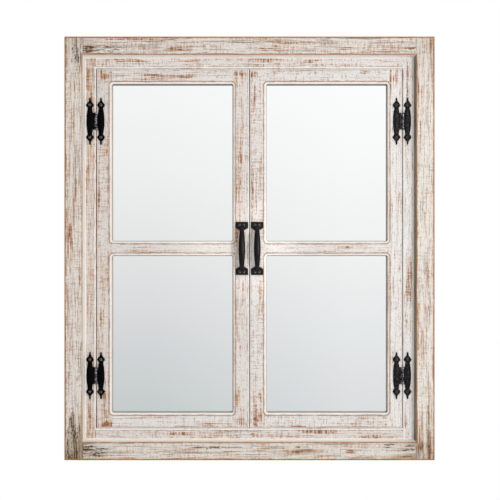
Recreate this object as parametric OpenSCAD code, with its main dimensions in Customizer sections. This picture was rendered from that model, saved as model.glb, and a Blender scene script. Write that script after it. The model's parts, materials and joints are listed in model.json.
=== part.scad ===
// Wall mirror built as a pair of small shutter doors in a distressed pine frame.
// X runs to the right, Z up, and the front faces -Y. The wall plane is Y = 0, and the
// origin lies midway between the two hanging holes in the back of the frame.

/* [Overall] */
// Width over the outer frame
overall_w = 616; // [580:1:660]
// Height over the outer frame
overall_h = 705; // [660:1:760]
// Distance from the top edge down to the two hanging holes
hanger_drop = 80; // [65:1:120]

/* [Outer frame] */
// Face width of an outer board
frame_w = 31; // [30:0.5:38]
// How far the outer boards stand proud of the doors
recess = 16; // [12:0.5:18]
// Wear bevel on the front arrises of the outer frame
frame_arris = 1.2; // [0.4:0.1:2]
// Diameter of a dowel in the outer corner joints
frame_dowel_d = 8; // [6:0.5:9]
// Length of a dowel in the outer corner joints
frame_dowel_l = 36; // [24:1:44]

/* [Inner frame] */
// Visible face width of an inner board
inner_face_w = 18.5; // [18:0.5:28]
// Thickness of an inner board
inner_t = 18; // [17:0.5:22]
// How far the inner boards lap behind the outer ones
lap_w = 8; // [7:0.5:9]
// Play round the inner frame and the back panel in the rear pocket
lap_play = 0.5; // [0.2:0.1:1]
// Diameter of a dowel in the inner corner joints
inner_dowel_d = 6; // [4:0.5:8]
// Length of a dowel in the inner corner joints
inner_dowel_l = 30; // [20:1:40]
// Length of a screw that holds an inner board to an outer one
lap_screw_l = 25; // [20:1:30]

/* [Back panel] */
// Thickness of the hardboard back
panel_t = 3; // [2.5:0.5:5]
// How far the back panel lies below the back of the frame
panel_inset = 1; // [0.5:0.5:3]
// Spacing of the brads round the back panel, at most
brad_pitch = 150; // [100:5:200]
// Length of a brad
brad_l = 16; // [12:1:18]

/* [Doors] */
// Gap at each upright seam of the doors
door_gap = 1.2; // [1.1:0.1:2.2]
// Gap above and below the doors
rail_gap = 0.6; // [0.5:0.1:2]
// Bevel on both sides of each seam
seam_bevel = 2; // [1:0.1:2.2]
// Space between the backs of the doors and the back panel
door_back_gap = 4; // [3.6:0.1:5]
// Width of a hinge stile
hinge_stile_w = 26; // [25:0.5:34]
// Width of a meeting stile
meeting_stile_w = 28.3; // [28.3:0.5:36]
// Width of the top and bottom rails
rail_w = 26.4; // [26:0.2:36]
// Width of the muntin between the upper and lower mirrors
muntin_w = 25.8; // [24:0.2:34]
// Diameter of a dowel in the door joints
door_dowel_d = 5; // [4:0.5:6]
// Length of a dowel in the door joints
door_dowel_l = 30; // [20:1:36]

/* [Mirrors] */
// Radius of the quarter round routed along a pane opening
ovolo_r = 4; // [3:0.1:4.6]
// Height and width of the step between the door face and the quarter round
quirk = 0.6; // [0.3:0.1:1]
// Width of the flat at the foot of the quarter round
ovolo_foot = 0.5; // [0.2:0.1:0.8]
// Thickness of the lip that the glass lies against
lip_t = 2.5; // [1.5:0.1:3]
// Corner radius of a pane opening at the glass
pane_corner_r = 2.5; // [1:0.1:5]
// Thickness of the mirror glass
glass_t = 3; // [2:0.5:3.5]
// How far the glass reaches behind the lip
glass_lap = 4; // [3:0.5:5]
// Play round the glass and its backing
glass_play = 0.5; // [0.2:0.1:1]
// Length of a retainer tab across the rebate
tab_w = 15; // [13:0.5:17]
// Width of a retainer tab along the rebate
tab_h = 10; // [8:0.5:14]
// Thickness of a retainer tab
tab_t = 0.8; // [0.6:0.1:1.2]

/* [H hinges] */
// Height over the two spear tips of a hinge
hinge_h = 78.4; // [74:0.2:90]
// Distance of each hinge from mid height
hinge_offset = 214; // [190:1:230]
// Distance of the left-hand bar from the pin
left_bar_x = 10.6; // [9.8:0.1:11]
// Distance of the right-hand bar from the pin
right_bar_x = 8; // [7.8:0.1:9]
// Greatest width of a bar
bar_w = 12; // [9:0.2:12.4]
// Width of a bar at its two waists
waist_w = 7.2; // [5.4:0.2:8.6]
// Width of the spade-shaped nail pads
pad_w = 13.2; // [10:0.2:13.4]
// Distance of a nail pad from the tip
pad_from_tip = 12; // [11:0.2:14]
// Width of a spear tip
spear_w = 2.8; // [2:0.2:4]
// Length of the straight part of a spear tip
spear_l = 5.2; // [3:0.2:6]
// Thickness of a bar along its crown
bar_t = 3; // [2.6:0.1:3.4]
// Thickness of a bar at its edge
bar_edge_t = 1.4; // [1:0.1:2]
// Thickness of the plate between bar and knuckles
web_t = 1.4; // [1:0.1:1.8]
// Diameter of the knuckles
knuckle_d = 4.4; // [4:0.1:5.4]
// Height of the knuckle stack
knuckle_stack_h = 28.8; // [24:0.2:34]
// Axial play between two knuckles
knuckle_play = 0.2; // [0.1:0.05:0.4]
// Diameter of a hinge pin
pin_d = 2.2; // [1.8:0.1:2.6]
// Radial play of a hinge pin
pin_play = 0.05; // [0.02:0.01:0.1]
// Width of a pyramid nail head
nail_head_w = 5; // [4:0.1:6]
// Height of a pyramid nail head
nail_head_h = 1.8; // [1.2:0.1:2]
// Depth of the seat cut into a pad for a nail head
nail_seat = 0.4; // [0.3:0.1:0.8]
// Shank diameter of a hinge nail
nail_d = 1.8; // [1.4:0.1:2.2]
// Shank length of a hinge nail
nail_l = 11; // [8:0.5:13]

/* [Pulls] */
// Length of a door pull
pull_l = 89.5; // [80:0.5:110]
// Distance of a pull from the meeting edge of its door
pull_inset = 12.2; // [12:0.1:13]
// Width of a foot
foot_w = 21.3; // [20:0.1:22]
// Length of the full-width part of a foot
foot_l = 9.5; // [9:0.1:12]
// Length of the shoulder between foot and grip
shoulder_l = 4.5; // [3:0.1:6]
// Width of a shoulder where the grip leaves it
shoulder_w = 8.6; // [7.4:0.1:12]
// Thickness of a foot
foot_t = 3.2; // [2.6:0.1:5]
// Bevel round the front of a foot
foot_bevel = 0.9; // [0.4:0.1:1.4]
// Reach of the middle of the grip from the door
pull_reach = 21; // [18:0.5:30]
// Width of the grip at its ends
grip_end_w = 6.4; // [5.8:0.1:7.4]
// Width of the grip in the middle
grip_mid_w = 11.5; // [9:0.1:14]
// Thickness of the grip at its ends
grip_end_t = 6.4; // [5:0.1:7]
// Thickness of the grip in the middle
grip_mid_t = 7.6; // [6:0.1:9]
// Spacing of the two screws in a foot
pull_screw_pitch = 6.9; // [6:0.1:9]
// Distance of the screws from the end of a foot
pull_screw_inset = 5.6; // [4:0.1:6]
// Length of a pull screw
pull_screw_l = 12; // [9:0.5:14]

/* [Hangers and catches] */
// Radius of the entry hole of a keyhole hanger
keyhole_r = 4.75; // [4:0.05:5.2]
// Width of the slot that rises from the entry hole
keyhole_slot_w = 5; // [4:0.1:6]
// Rise of the slot above the entry hole
keyhole_rise = 14; // [10:0.5:16]
// Width of a hanger plate
hanger_w = 16; // [14:0.5:20]
// Height of a hanger plate
hanger_h = 50; // [48:0.5:60]
// Thickness of a hanger plate
hanger_t = 1.5; // [1:0.1:2.5]
// Depth of the pocket for the screw head behind a hanger plate
hanger_pocket_t = 10; // [6:0.5:14]
// Diameter of a catch magnet
magnet_d = 10; // [8:0.5:12]
// Gap between a magnet and its strike when the door is closed
catch_gap = 0.2; // [0.1:0.05:0.4]
// Diameter of the strike disc let into a door
strike_d = 12; // [8:0.5:14]
// Thickness of the strike disc let into a door
strike_t = 1; // [0.8:0.1:2]

/* [Fits] */
// Radial play of screws, nails and brads in their holes
fastener_play = 0.05; // [0.02:0.01:0.1]
// Radial play of dowels in their holes
dowel_play = 0.05; // [0.02:0.01:0.1]
// Play at each end of a dowel
dowel_end_play = 0.5; // [0.2:0.1:1]
// Play round plates and discs let into wood
inlay_play = 0.1; // [0.05:0.05:0.2]

/* [Hidden] */
$fn = 48;
eps = 0.01;
through = 1;

LEFT = -1;
RIGHT = 1;
UPPER = 1;
LOWER = -1;

// Finishes
outer_wood = "#D3C8BD";
inner_wood = "#E0D8D0";
door_wood = "#E4DDD5";
raw_wood = "#C9A982";
hardboard = "#8A6B4D";
black_iron = "#1E1E20";
worn_iron = "#6E665E";
zinc = "#B8BBBE";
mirror_silver = "#E6EAEA";

// Depths, from the front of the frame back to the wall
frame_t = recess + inner_t + panel_t + panel_inset;
front_y = -frame_t;
face_y = front_y + recess;
inner_back_y = face_y + inner_t;
panel_back_y = inner_back_y + panel_t;
leaf_t = inner_t - door_back_gap;
leaf_back_y = face_y + leaf_t;
glass_inset = quirk + ovolo_r + lip_t;
glass_y = face_y + glass_inset;
backing_y = glass_y + glass_t;

// Outer frame
mid_z = hanger_drop - overall_h / 2;
opening_w = overall_w - 2 * frame_w;
opening_h = overall_h - 2 * frame_w;
pocket_w = opening_w + 2 * lap_w;
pocket_h = opening_h + 2 * lap_w;
back_strip_w = frame_w - lap_w;

// Inner frame and back panel
inner_w = pocket_w - 2 * lap_play;
inner_h = pocket_h - 2 * lap_play;
door_opening_w = opening_w - 2 * inner_face_w;
door_opening_h = opening_h - 2 * inner_face_w;
inner_board_w = (inner_w - door_opening_w) / 2;

// Doors
leaf_w = (door_opening_w - 3 * door_gap) / 2;
leaf_h = door_opening_h - 2 * rail_gap;
leaf_x = (door_gap + leaf_w) / 2;
pin_x = (door_opening_w - door_gap) / 2;
pane_w = leaf_w - hinge_stile_w - meeting_stile_w;
pane_h = (leaf_h - 2 * rail_w - muntin_w) / 2;
pane_x = door_gap / 2 + meeting_stile_w + pane_w / 2;
pane_z = (muntin_w + pane_h) / 2;
glass_w = pane_w + 2 * glass_lap;
glass_h = pane_h + 2 * glass_lap;
rebate_w = glass_w + 2 * glass_play;
rebate_h = glass_h + 2 * glass_play;
ovolo_w = quirk + ovolo_r + ovolo_foot;

// Hinges
pin_y = face_y - knuckle_d / 2;
knuckles = 5;
knuckle_pitch = knuckle_stack_h / knuckles;
pad_z = hinge_h / 2 - pad_from_tip;
waist_drop = 5;
waist_lap = 1;
pad_round_drop = 1;
pad_round_w = pad_w - 1.4;
spear_flare_h = 1.6;
nail_seat_y = face_y - bar_t + nail_seat;
pin_head_t = 0.6;
pin_head_d = pin_d + 1;

// Pulls
pull_x = door_gap / 2 + pull_inset;
shoulder_z = pull_l / 2 - foot_l - shoulder_l;
grip_span = 2 * (shoulder_z + grip_end_t / 2);
grip_root_y = foot_t / 4;
grip_rings = 24;
grip_sides = 18;
bow_power = 0.62;
grip_swell = 2;

// Fasteners
lap_screw_d = 3.5;
lap_screw_head_d = 6.6;
hanger_screw_d = 3;
hanger_screw_head_d = 5.4;
hanger_screw_l = 14;
hanger_foot_z = -19;
hanger_screw_inset = 6;
hanger_screw_zs = [
    hanger_foot_z + hanger_screw_inset, hanger_foot_z + hanger_h - hanger_screw_inset
];
hanger_pocket_w = 2 * (keyhole_r + 1);
tab_screw_d = 2;
tab_screw_head_d = 4;
tab_screw_head_h = 1.2;
tab_screw_l = 8;
tab_screw_inset = 4.5;
tab_hold = 2;
tab_reach = glass_lap + tab_hold;
pull_screw_d = 2.4;
pull_screw_head_d = 4.4;
pull_screw_head_h = 1.4;
brad_d = 1.4;
brad_head_d = 3;
brad_head_t = 0.6;
brad_edge = 10;
slot_w = 0.6;

hanger_x = (overall_w - back_strip_w) / 2;
lap_line_x = (opening_w + inner_w) / 4;
lap_line_z = (opening_h + inner_h) / 4;
magnet_t = door_back_gap - catch_gap;
catch_x = (door_gap + meeting_stile_w - glass_lap) / 2;

// ---- General shapes ----

// Box centred on x and z, from depth y0 back to depth y1
module slab(x, z, w, h, y0, y1)
    translate([x - w / 2, y0, z - h / 2])
        cube([w, y1 - y0, h]);

// Plan of a block whose two front arrises are cut back, or flared when bevel is negative
module bevelled_plan(w, y0, y1, bevel)
    polygon([
        [bevel - w / 2, y0], [w / 2 - bevel, y0], [w / 2, y0 + abs(bevel)],
        [w / 2, y1], [-w / 2, y1], [-w / 2, y0 + abs(bevel)]
    ]);

// Block centred on x and z with a mitred bevel or flare round its front
module bevelled_slab(x, z, w, h, y0, y1, bevel) {
    reach = 2 * max(w, h);
    translate([x, 0, z])
        intersection() {
            translate([0, 0, -reach / 2])
                linear_extrude(reach)
                    bevelled_plan(w, y0, y1, bevel);
            translate([-reach / 2, 0, 0])
                rotate([0, 90, 0])
                    linear_extrude(reach)
                        bevelled_plan(h, y0, y1, bevel);
        }
}

// Opening cutter with a bevel of the given size where it meets the front face y0
module bevelled_opening(x, z, w, h, y0, y1, bevel)
    bevelled_slab(x, z, w, h, y0 - through, y1, -bevel - through);

// Round bar along X, centred on its middle
module bar_x(d, l)
    translate([-l / 2, 0, 0])
        rotate([0, 90, 0])
            cylinder(d = d, h = l);

// Round bar along Y, from y0 back to y1
module bar_y(d, y0, y1)
    translate([0, y0, 0])
        rotate([-90, 0, 0])
            cylinder(d = d, h = y1 - y0);

// Cone along Y between two diameters
module cone_y(d0, d1, y0, y1)
    translate([0, y0, 0])
        rotate([-90, 0, 0])
            cylinder(d1 = d0, d2 = d1, h = y1 - y0);

// Domed head of a round-head screw, its flat side at y = 0 and its dome towards -Y
module dome_head(d, h) {
    ball_r = (d * d / 4 + h * h) / (2 * h);
    intersection() {
        translate([0, ball_r - h, 0])
            sphere(r = ball_r);
        bar_y(d, -h, 0);
    }
}

// Round-head screw driven towards +Y, its head bearing at y = 0
module round_screw(head_d, head_h, d, l) {
    difference() {
        dome_head(head_d, head_h);
        slab(0, 0, head_d + through, slot_w, -head_h - through, -head_h / 2);
    }
    bar_y(d, -eps, l);
}

// Countersunk screw driven towards -Y, its head flush at y = 0
module flat_screw(head_d, d, l) {
    head_h = (head_d - d) / 2;
    difference() {
        cone_y(d, head_d, -head_h, 0);
        slab(0, 0, head_d + through, slot_w, -head_h / 2, through);
    }
    bar_y(d, -l, eps - head_h);
}

// Hole for a countersunk screw, with its seat flush at y = 0
module flat_screw_hole(head_d, d, l) {
    head_h = (head_d - d) / 2;
    cone_y(d, head_d, -head_h, 0);
    bar_y(head_d, 0, through);
    bar_y(d + 2 * fastener_play, -l - through, eps - head_h);
}

// ---- Outer frame ----

module outer_frame_form()
    difference() {
        bevelled_slab(0, mid_z, overall_w, overall_h, front_y, 0, frame_arris);
        bevelled_opening(0, mid_z, opening_w, opening_h, front_y, through, frame_arris);
        slab(0, mid_z, pocket_w, pocket_h, face_y, through);
    }

// One outer dowel lies behind the rebate line, the other in front of it
outer_dowel_spots = [
    [face_y / 2, back_strip_w / 2],
    [(front_y + face_y) / 2, frame_w / 2]
];

module at_outer_dowels()
    for (side = [LEFT, RIGHT], end = [UPPER, LOWER], spot = outer_dowel_spots)
        translate([side * opening_w / 2, spot[0], mid_z + end * (overall_h / 2 - spot[1])])
            children();

module at_inner_dowels()
    for (side = [LEFT, RIGHT], end = [UPPER, LOWER])
        translate([
            side * door_opening_w / 2, face_y + inner_t / 2,
            mid_z + end * (door_opening_h + inner_board_w) / 2
        ])
            children();

module outer_dowel_holes()
    at_outer_dowels()
        bar_x(frame_dowel_d + 2 * dowel_play, frame_dowel_l + 2 * dowel_end_play);

module inner_dowel_holes()
    at_inner_dowels()
        bar_x(inner_dowel_d + 2 * dowel_play, inner_dowel_l + 2 * dowel_end_play);

module frame_dowels()
    color(raw_wood) {
        at_outer_dowels()
            bar_x(frame_dowel_d, frame_dowel_l);
        at_inner_dowels()
            bar_x(inner_dowel_d, inner_dowel_l);
    }

// Screws through the inner boards into the outer ones, along the lap
stile_screw_step = pocket_h / 4;
rail_screw_step = pocket_w / 3;

module at_lap_screws()
    translate([0, inner_back_y, 0]) {
        for (side = [LEFT, RIGHT], n = [-1.5:1:1.5])
            translate([side * lap_line_x, 0, mid_z + n * stile_screw_step])
                children();
        for (end = [UPPER, LOWER], n = [-1:1:1])
            translate([n * rail_screw_step, 0, mid_z + end * lap_line_z])
                children();
    }

module lap_screw_holes()
    at_lap_screws()
        flat_screw_hole(lap_screw_head_d, lap_screw_d, lap_screw_l);

module lap_screws()
    color(zinc)
        at_lap_screws()
            flat_screw(lap_screw_head_d, lap_screw_d, lap_screw_l);

// Recesses in the back of an outer stile for a hanger plate and the screw head behind it
module hanger_pocket(side)
    translate([side * hanger_x, 0, 0]) {
        slab(
            0, hanger_foot_z + hanger_h / 2, hanger_w + 2 * inlay_play,
            hanger_h + 2 * inlay_play, -hanger_t, through
        );
        for (z = [0, keyhole_rise])
            translate([0, 0, z])
                bar_y(hanger_pocket_w, -hanger_pocket_t, through);
        slab(0, keyhole_rise / 2, hanger_pocket_w, keyhole_rise, -hanger_pocket_t, through);
        for (z = hanger_screw_zs)
            translate([0, 0, z])
                bar_y(hanger_screw_d + 2 * fastener_play, -hanger_screw_l - through, through);
    }

module outer_stile(side)
    color(outer_wood)
        difference() {
            intersection() {
                outer_frame_form();
                slab(
                    side * (overall_w - frame_w) / 2, mid_z, frame_w, overall_h + 2 * through,
                    front_y - through, through
                );
            }
            outer_dowel_holes();
            lap_screw_holes();
            hanger_pocket(side);
        }

module outer_rail(end)
    color(outer_wood)
        difference() {
            intersection() {
                outer_frame_form();
                slab(
                    0, mid_z + end * (overall_h - frame_w) / 2, opening_w, frame_w,
                    front_y - through, through
                );
            }
            outer_dowel_holes();
            lap_screw_holes();
        }

// ---- Inner frame and back ----

module inner_frame_cuts() {
    bevelled_opening(
        0, mid_z, door_opening_w, door_opening_h, face_y, inner_back_y + through, seam_bevel
    );
    inner_dowel_holes();
    lap_screw_holes();
    brad_holes();
}

module inner_stile(side)
    color(inner_wood)
        difference() {
            slab(
                side * (inner_w - inner_board_w) / 2, mid_z, inner_board_w, inner_h,
                face_y, inner_back_y
            );
            inner_frame_cuts();
            frame_nail_holes();
        }

module inner_rail(end)
    color(inner_wood)
        difference() {
            slab(
                0, mid_z + end * (inner_h - inner_board_w) / 2, door_opening_w, inner_board_w,
                face_y, inner_back_y
            );
            inner_frame_cuts();
        }

// Brads stand in even rows along the edges of the back panel
brad_row_x = inner_w / 2 - brad_edge;
brad_row_z = inner_h / 2 - brad_edge;
brad_count_z = ceil(2 * brad_row_z / brad_pitch);
brad_count_x = ceil(2 * brad_row_x / brad_pitch);

module at_brads()
    translate([0, panel_back_y, mid_z]) {
        for (side = [LEFT, RIGHT], n = [0:1:brad_count_z])
            translate([side * brad_row_x, 0, brad_row_z * (2 * n / brad_count_z - 1)])
                children();
        for (end = [UPPER, LOWER], n = [1:1:brad_count_x - 1])
            translate([brad_row_x * (2 * n / brad_count_x - 1), 0, end * brad_row_z])
                children();
    }

module brad_holes()
    at_brads() {
        bar_y(brad_d + 2 * fastener_play, -brad_l - through, through);
        bar_y(brad_head_d + 2 * fastener_play, -brad_head_t, through);
    }

module panel_brads()
    color(zinc)
        at_brads() {
            bar_y(brad_d, -brad_l, 0);
            bar_y(brad_head_d, -brad_head_t, 0);
        }

module back_panel()
    color(hardboard)
        difference() {
            slab(0, mid_z, inner_w, inner_h, inner_back_y, panel_back_y);
            brad_holes();
        }

// ---- Hangers and catches ----

module hanger_plate(side)
    color(zinc)
        translate([side * hanger_x, 0, 0])
            difference() {
                slab(0, hanger_foot_z + hanger_h / 2, hanger_w, hanger_h, -hanger_t, 0);
                bar_y(2 * keyhole_r, -hanger_t - through, through);
                translate([0, 0, keyhole_rise])
                    bar_y(keyhole_slot_w, -hanger_t - through, through);
                slab(0, keyhole_rise / 2, keyhole_slot_w, keyhole_rise, -hanger_t - through, through);
                for (z = hanger_screw_zs)
                    translate([0, 0, z])
                        flat_screw_hole(hanger_screw_head_d, hanger_screw_d, hanger_screw_l);
            }

module hanger_screws()
    color(zinc)
        for (side = [LEFT, RIGHT], z = hanger_screw_zs)
            translate([side * hanger_x, 0, z])
                flat_screw(hanger_screw_head_d, hanger_screw_d, hanger_screw_l);

module catch_magnets()
    color(zinc)
        for (side = [LEFT, RIGHT])
            translate([side * catch_x, 0, mid_z])
                bar_y(magnet_d, inner_back_y - magnet_t, inner_back_y);

module catch_strike(side)
    color(zinc)
        translate([side * catch_x, 0, mid_z])
            bar_y(strike_d, leaf_back_y - strike_t, leaf_back_y);

// ---- Doors ----

// Half plan of the routed pane edge: y runs back from the door face, x out from the glass
module pane_edge_plan(half_w) {
    difference() {
        translate([0, -through])
            square([half_w + ovolo_w, quirk + ovolo_r + through]);
        translate([half_w + ovolo_foot + ovolo_r, quirk + ovolo_r])
            circle(r = ovolo_r);
        translate([half_w + ovolo_foot + ovolo_r, quirk])
            square([ovolo_w, ovolo_r + eps]);
    }
    translate([0, quirk + ovolo_r - eps])
        square([half_w, leaf_t]);
}

// Full plan of the routed pane edge, centred on x = 0
module pane_plan(w)
    for (turn = [0, 1])
        mirror([turn, 0])
            pane_edge_plan(w / 2);

// Pane opening with a quarter round routed along its edges and round its corners
module pane_cutter(x, z) {
    straight_w = pane_w - 2 * pane_corner_r;
    straight_h = pane_h - 2 * pane_corner_r;
    translate([x, face_y, z]) {
        translate([0, 0, -straight_h / 2])
            linear_extrude(straight_h)
                pane_plan(pane_w);
        translate([-straight_w / 2, 0, 0])
            rotate([0, 90, 0])
                linear_extrude(straight_w)
                    pane_plan(pane_h);
        for (side = [LEFT, RIGHT], end = [UPPER, LOWER])
            translate([side * straight_w / 2, 0, end * straight_h / 2])
                rotate([-90, 0, 0])
                    rotate_extrude()
                        pane_edge_plan(pane_corner_r);
    }
}

// Openings of a door: two routed panes in front and two rebates for glass behind
module pane_cuts(side)
    for (end = [UPPER, LOWER]) {
        pane_cutter(side * pane_x, mid_z + end * pane_z);
        slab(
            side * pane_x, mid_z + end * pane_z, rebate_w, rebate_h, glass_y,
            leaf_back_y + through
        );
    }

// Body of a door with its front arrises bevelled, before the panes are cut
module leaf_form(side)
    bevelled_slab(side * leaf_x, mid_z, leaf_w, leaf_h, face_y, leaf_back_y, seam_bevel);

// Two dowels join each rail to a stile, and one joins each end of the muntin. Those of a rail
// sit clear of the bevel outside and of the glass rebate inside.
rail_dowel_parts = [0.28, 0.62];
joint_xs = [door_gap / 2 + meeting_stile_w, door_gap / 2 + leaf_w - hinge_stile_w];
door_dowel_y = face_y + leaf_t / 2;

module at_door_dowels(side)
    for (x = joint_xs)
        translate([side * x, door_dowel_y, mid_z]) {
            children();
            for (end = [UPPER, LOWER], part = rail_dowel_parts)
                translate([0, 0, end * (leaf_h / 2 - part * rail_w)])
                    children();
        }

module door_dowel_holes(side)
    at_door_dowels(side)
        bar_x(door_dowel_d + 2 * dowel_play, door_dowel_l + 2 * dowel_end_play);

module door_dowels(side)
    color(raw_wood)
        at_door_dowels(side)
            bar_x(door_dowel_d, door_dowel_l);

// Door member cut from the door between two heights and two distances from the centre seam
module door_member(side, x0, x1, z0, z1)
    difference() {
        intersection() {
            leaf_form(side);
            slab(
                side * (x0 + x1) / 2, mid_z + (z0 + z1) / 2, x1 - x0, z1 - z0,
                face_y - through, leaf_back_y + through
            );
        }
        pane_cuts(side);
        door_dowel_holes(side);
    }

module hinge_stile(side)
    color(door_wood)
        difference() {
            door_member(side, joint_xs[1], door_gap / 2 + leaf_w, -leaf_h / 2, leaf_h / 2);
            door_nail_holes(side);
            tab_screw_holes(side);
        }

module meeting_stile(side)
    color(door_wood)
        difference() {
            door_member(side, door_gap / 2, joint_xs[0], -leaf_h / 2, leaf_h / 2);
            pull_screw_holes(side);
            tab_screw_holes(side);
            translate([side * catch_x, 0, mid_z])
                bar_y(strike_d + 2 * inlay_play, leaf_back_y - strike_t, leaf_back_y + through);
        }

module door_rail(side, end)
    color(door_wood)
        door_member(
            side, joint_xs[0], joint_xs[1],
            end == UPPER ? leaf_h / 2 - rail_w : -leaf_h / 2,
            end == UPPER ? leaf_h / 2 : rail_w - leaf_h / 2
        );

module door_muntin(side)
    color(door_wood)
        door_member(side, joint_xs[0], joint_xs[1], -muntin_w / 2, muntin_w / 2);

module mirror_glass(side, end)
    color(mirror_silver)
        slab(side * pane_x, mid_z + end * pane_z, glass_w, glass_h, glass_y, backing_y);

module mirror_backings(side)
    color(hardboard)
        for (end = [UPPER, LOWER])
            slab(side * pane_x, mid_z + end * pane_z, glass_w, glass_h, backing_y, leaf_back_y);

// Retainer tabs: two on each upright edge of a mirror, each held by one screw
module at_tabs(side)
    for (end = [UPPER, LOWER], edge = [LEFT, RIGHT], step = [LEFT, RIGHT])
        translate([
            side * pane_x + edge * rebate_w / 2, leaf_back_y,
            mid_z + end * pane_z + step * pane_h / 3
        ])
            mirror([edge == LEFT ? 1 : 0, 0, 0])
                children();

module retainer_tabs(side)
    color(zinc)
        at_tabs(side)
            difference() {
                slab(tab_w / 2 - tab_reach, 0, tab_w, tab_h, 0, tab_t);
                translate([tab_screw_inset, 0, 0])
                    bar_y(tab_screw_d + 2 * fastener_play, -through, tab_t + through);
            }

module tab_screw_holes(side)
    at_tabs(side)
        translate([tab_screw_inset, 0, 0])
            bar_y(tab_screw_d + 2 * fastener_play, -tab_screw_l, through);

module tab_screws(side)
    color(zinc)
        at_tabs(side)
            translate([tab_screw_inset, tab_t, 0])
                mirror([0, 1, 0])
                    round_screw(tab_screw_head_d, tab_screw_head_h, tab_screw_d, tab_screw_l);

// ---- H hinges ----

// Outline of one hinge bar: a lens with waists, spade pads and spear tips
module bar_outline() {
    waist_z = pad_z - waist_drop;
    sag = (bar_w - waist_w) / 2;
    bow_r = (waist_z * waist_z + sag * sag) / (2 * sag);
    spear_z = hinge_h / 2 - spear_l;
    flare_z = spear_z - spear_flare_h;
    intersection() {
        bow_x = bow_r - bar_w / 2;
        translate([bow_x, 0])
            circle(r = bow_r, $fn = 200);
        translate([-bow_x, 0])
            circle(r = bow_r, $fn = 200);
        square([bar_w, 2 * (waist_z + waist_lap)], center = true);
    }
    for (turn = [0, 1])
        mirror([0, turn]) {
            translate([0, pad_z - pad_round_drop])
                circle(d = pad_round_w);
            polygon([
                [-pad_w / 2, pad_z], [-spear_w, flare_z], [-spear_w / 2, spear_z],
                [-spear_w / 2, hinge_h / 2], [spear_w / 2, hinge_h / 2],
                [spear_w / 2, spear_z], [spear_w, flare_z], [pad_w / 2, pad_z],
                [waist_w / 2, waist_z], [-waist_w / 2, waist_z]
            ]);
        }
}

// Bar with a crowned front, its flat back on the door face
module crowned_bar() {
    drop = bar_t - bar_edge_t;
    crown_r = (bar_w * bar_w / 4 + drop * drop) / (2 * drop);
    difference() {
        intersection() {
            translate([0, face_y, 0])
                rotate([90, 0, 0])
                    linear_extrude(bar_t)
                        bar_outline();
            translate([0, face_y - bar_t + crown_r, -hinge_h])
                cylinder(r = crown_r, h = 2 * hinge_h, $fn = 120);
        }
        for (end = [UPPER, LOWER])
            translate([0, 0, end * pad_z]) {
                slab(
                    0, 0, nail_head_w + 2 * inlay_play, nail_head_w + 2 * inlay_play,
                    face_y - bar_t - through, nail_seat_y
                );
                bar_y(nail_d + 2 * fastener_play, face_y - bar_t - through, face_y + through);
            }
    }
}

// Stretch of the pin line: knuckle n of the stack, with extra length at both ends
module knuckle_stretch(n, d, extra)
    translate([0, pin_y, (n + 0.5) * knuckle_pitch - knuckle_stack_h / 2])
        cylinder(d = d, h = knuckle_pitch - knuckle_play + 2 * extra, center = true);

// Hinge leaf on one side of the pin. own lists its knuckles, and other the mating ones.
module hinge_leaf(side, bar_x, own, other)
    color(black_iron) {
        difference() {
            union() {
                translate([side * bar_x, 0, 0])
                    crowned_bar();
                difference() {
                    slab(
                        side * bar_x / 2, 0, bar_x, knuckle_stack_h - knuckle_play,
                        face_y - web_t, face_y
                    );
                    for (n = other)
                        slab(
                            0, (n + 0.5) * knuckle_pitch - knuckle_stack_h / 2,
                            knuckle_d + 4 * knuckle_play, knuckle_pitch + knuckle_play,
                            face_y - knuckle_d, face_y + through
                        );
                }
                for (n = own)
                    knuckle_stretch(n, knuckle_d, 0);
            }
            translate([0, pin_y, -knuckle_stack_h])
                cylinder(d = pin_d + 2 * pin_play, h = 2 * knuckle_stack_h);
            for (n = other)
                knuckle_stretch(n, knuckle_d + 2 * knuckle_play, knuckle_play);
        }
    }

frame_knuckles = [0, 2, 4];
door_knuckles = [1, 3];

// Left-hand bars stand further from the pin than right-hand bars, on both sides of the mirror
function bar_offset(side) = side == LEFT ? left_bar_x : right_bar_x;

module at_hinge(side, end)
    translate([side * pin_x, 0, mid_z + end * hinge_offset])
        children();

module frame_leaf(side, end)
    at_hinge(side, end)
        hinge_leaf(side, bar_offset(side), frame_knuckles, door_knuckles);

module door_leaf(side, end)
    at_hinge(side, end)
        hinge_leaf(-side, bar_offset(-side), door_knuckles, frame_knuckles);

module hinge_pins()
    color(black_iron)
        for (side = [LEFT, RIGHT], end = [UPPER, LOWER])
            at_hinge(side, end)
                translate([0, pin_y, 0]) {
                    cylinder(d = pin_d, h = knuckle_stack_h, center = true);
                    for (turn = [0, 1])
                        mirror([0, 0, turn])
                            translate([0, 0, (knuckle_stack_h - knuckle_play) / 2])
                                cylinder(d1 = pin_head_d, d2 = pin_d, h = pin_head_t);
                }

// Nail with a four-sided pyramid head and a round shank
module pyramid_nail() {
    half = nail_head_w / 2;
    intersection_for (turn = [0, 90])
        rotate([0, turn, 0])
            translate([0, 0, -half])
                linear_extrude(nail_head_w)
                    polygon([[-half, 0], [0, -nail_head_h], [half, 0]]);
    bar_y(nail_d, -eps, nail_l);
}

// Nail spots of one bar: side of the pin and the distance of the bar from it
module at_bar_nails(side, end, bar_side)
    at_hinge(side, end)
        for (pad = [UPPER, LOWER])
            translate([bar_side * bar_offset(bar_side), nail_seat_y, pad * pad_z])
                children();

module at_frame_nails()
    for (side = [LEFT, RIGHT], end = [UPPER, LOWER])
        at_bar_nails(side, end, side)
            children();

module at_door_nails(side)
    for (end = [UPPER, LOWER])
        at_bar_nails(side, end, -side)
            children();

module nail_hole()
    bar_y(nail_d + 2 * fastener_play, 0, nail_l + through);

module frame_nail_holes()
    at_frame_nails()
        nail_hole();

module door_nail_holes(side)
    at_door_nails(side)
        nail_hole();

module frame_hinge_nails()
    color(worn_iron)
        at_frame_nails()
            pyramid_nail();

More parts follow.
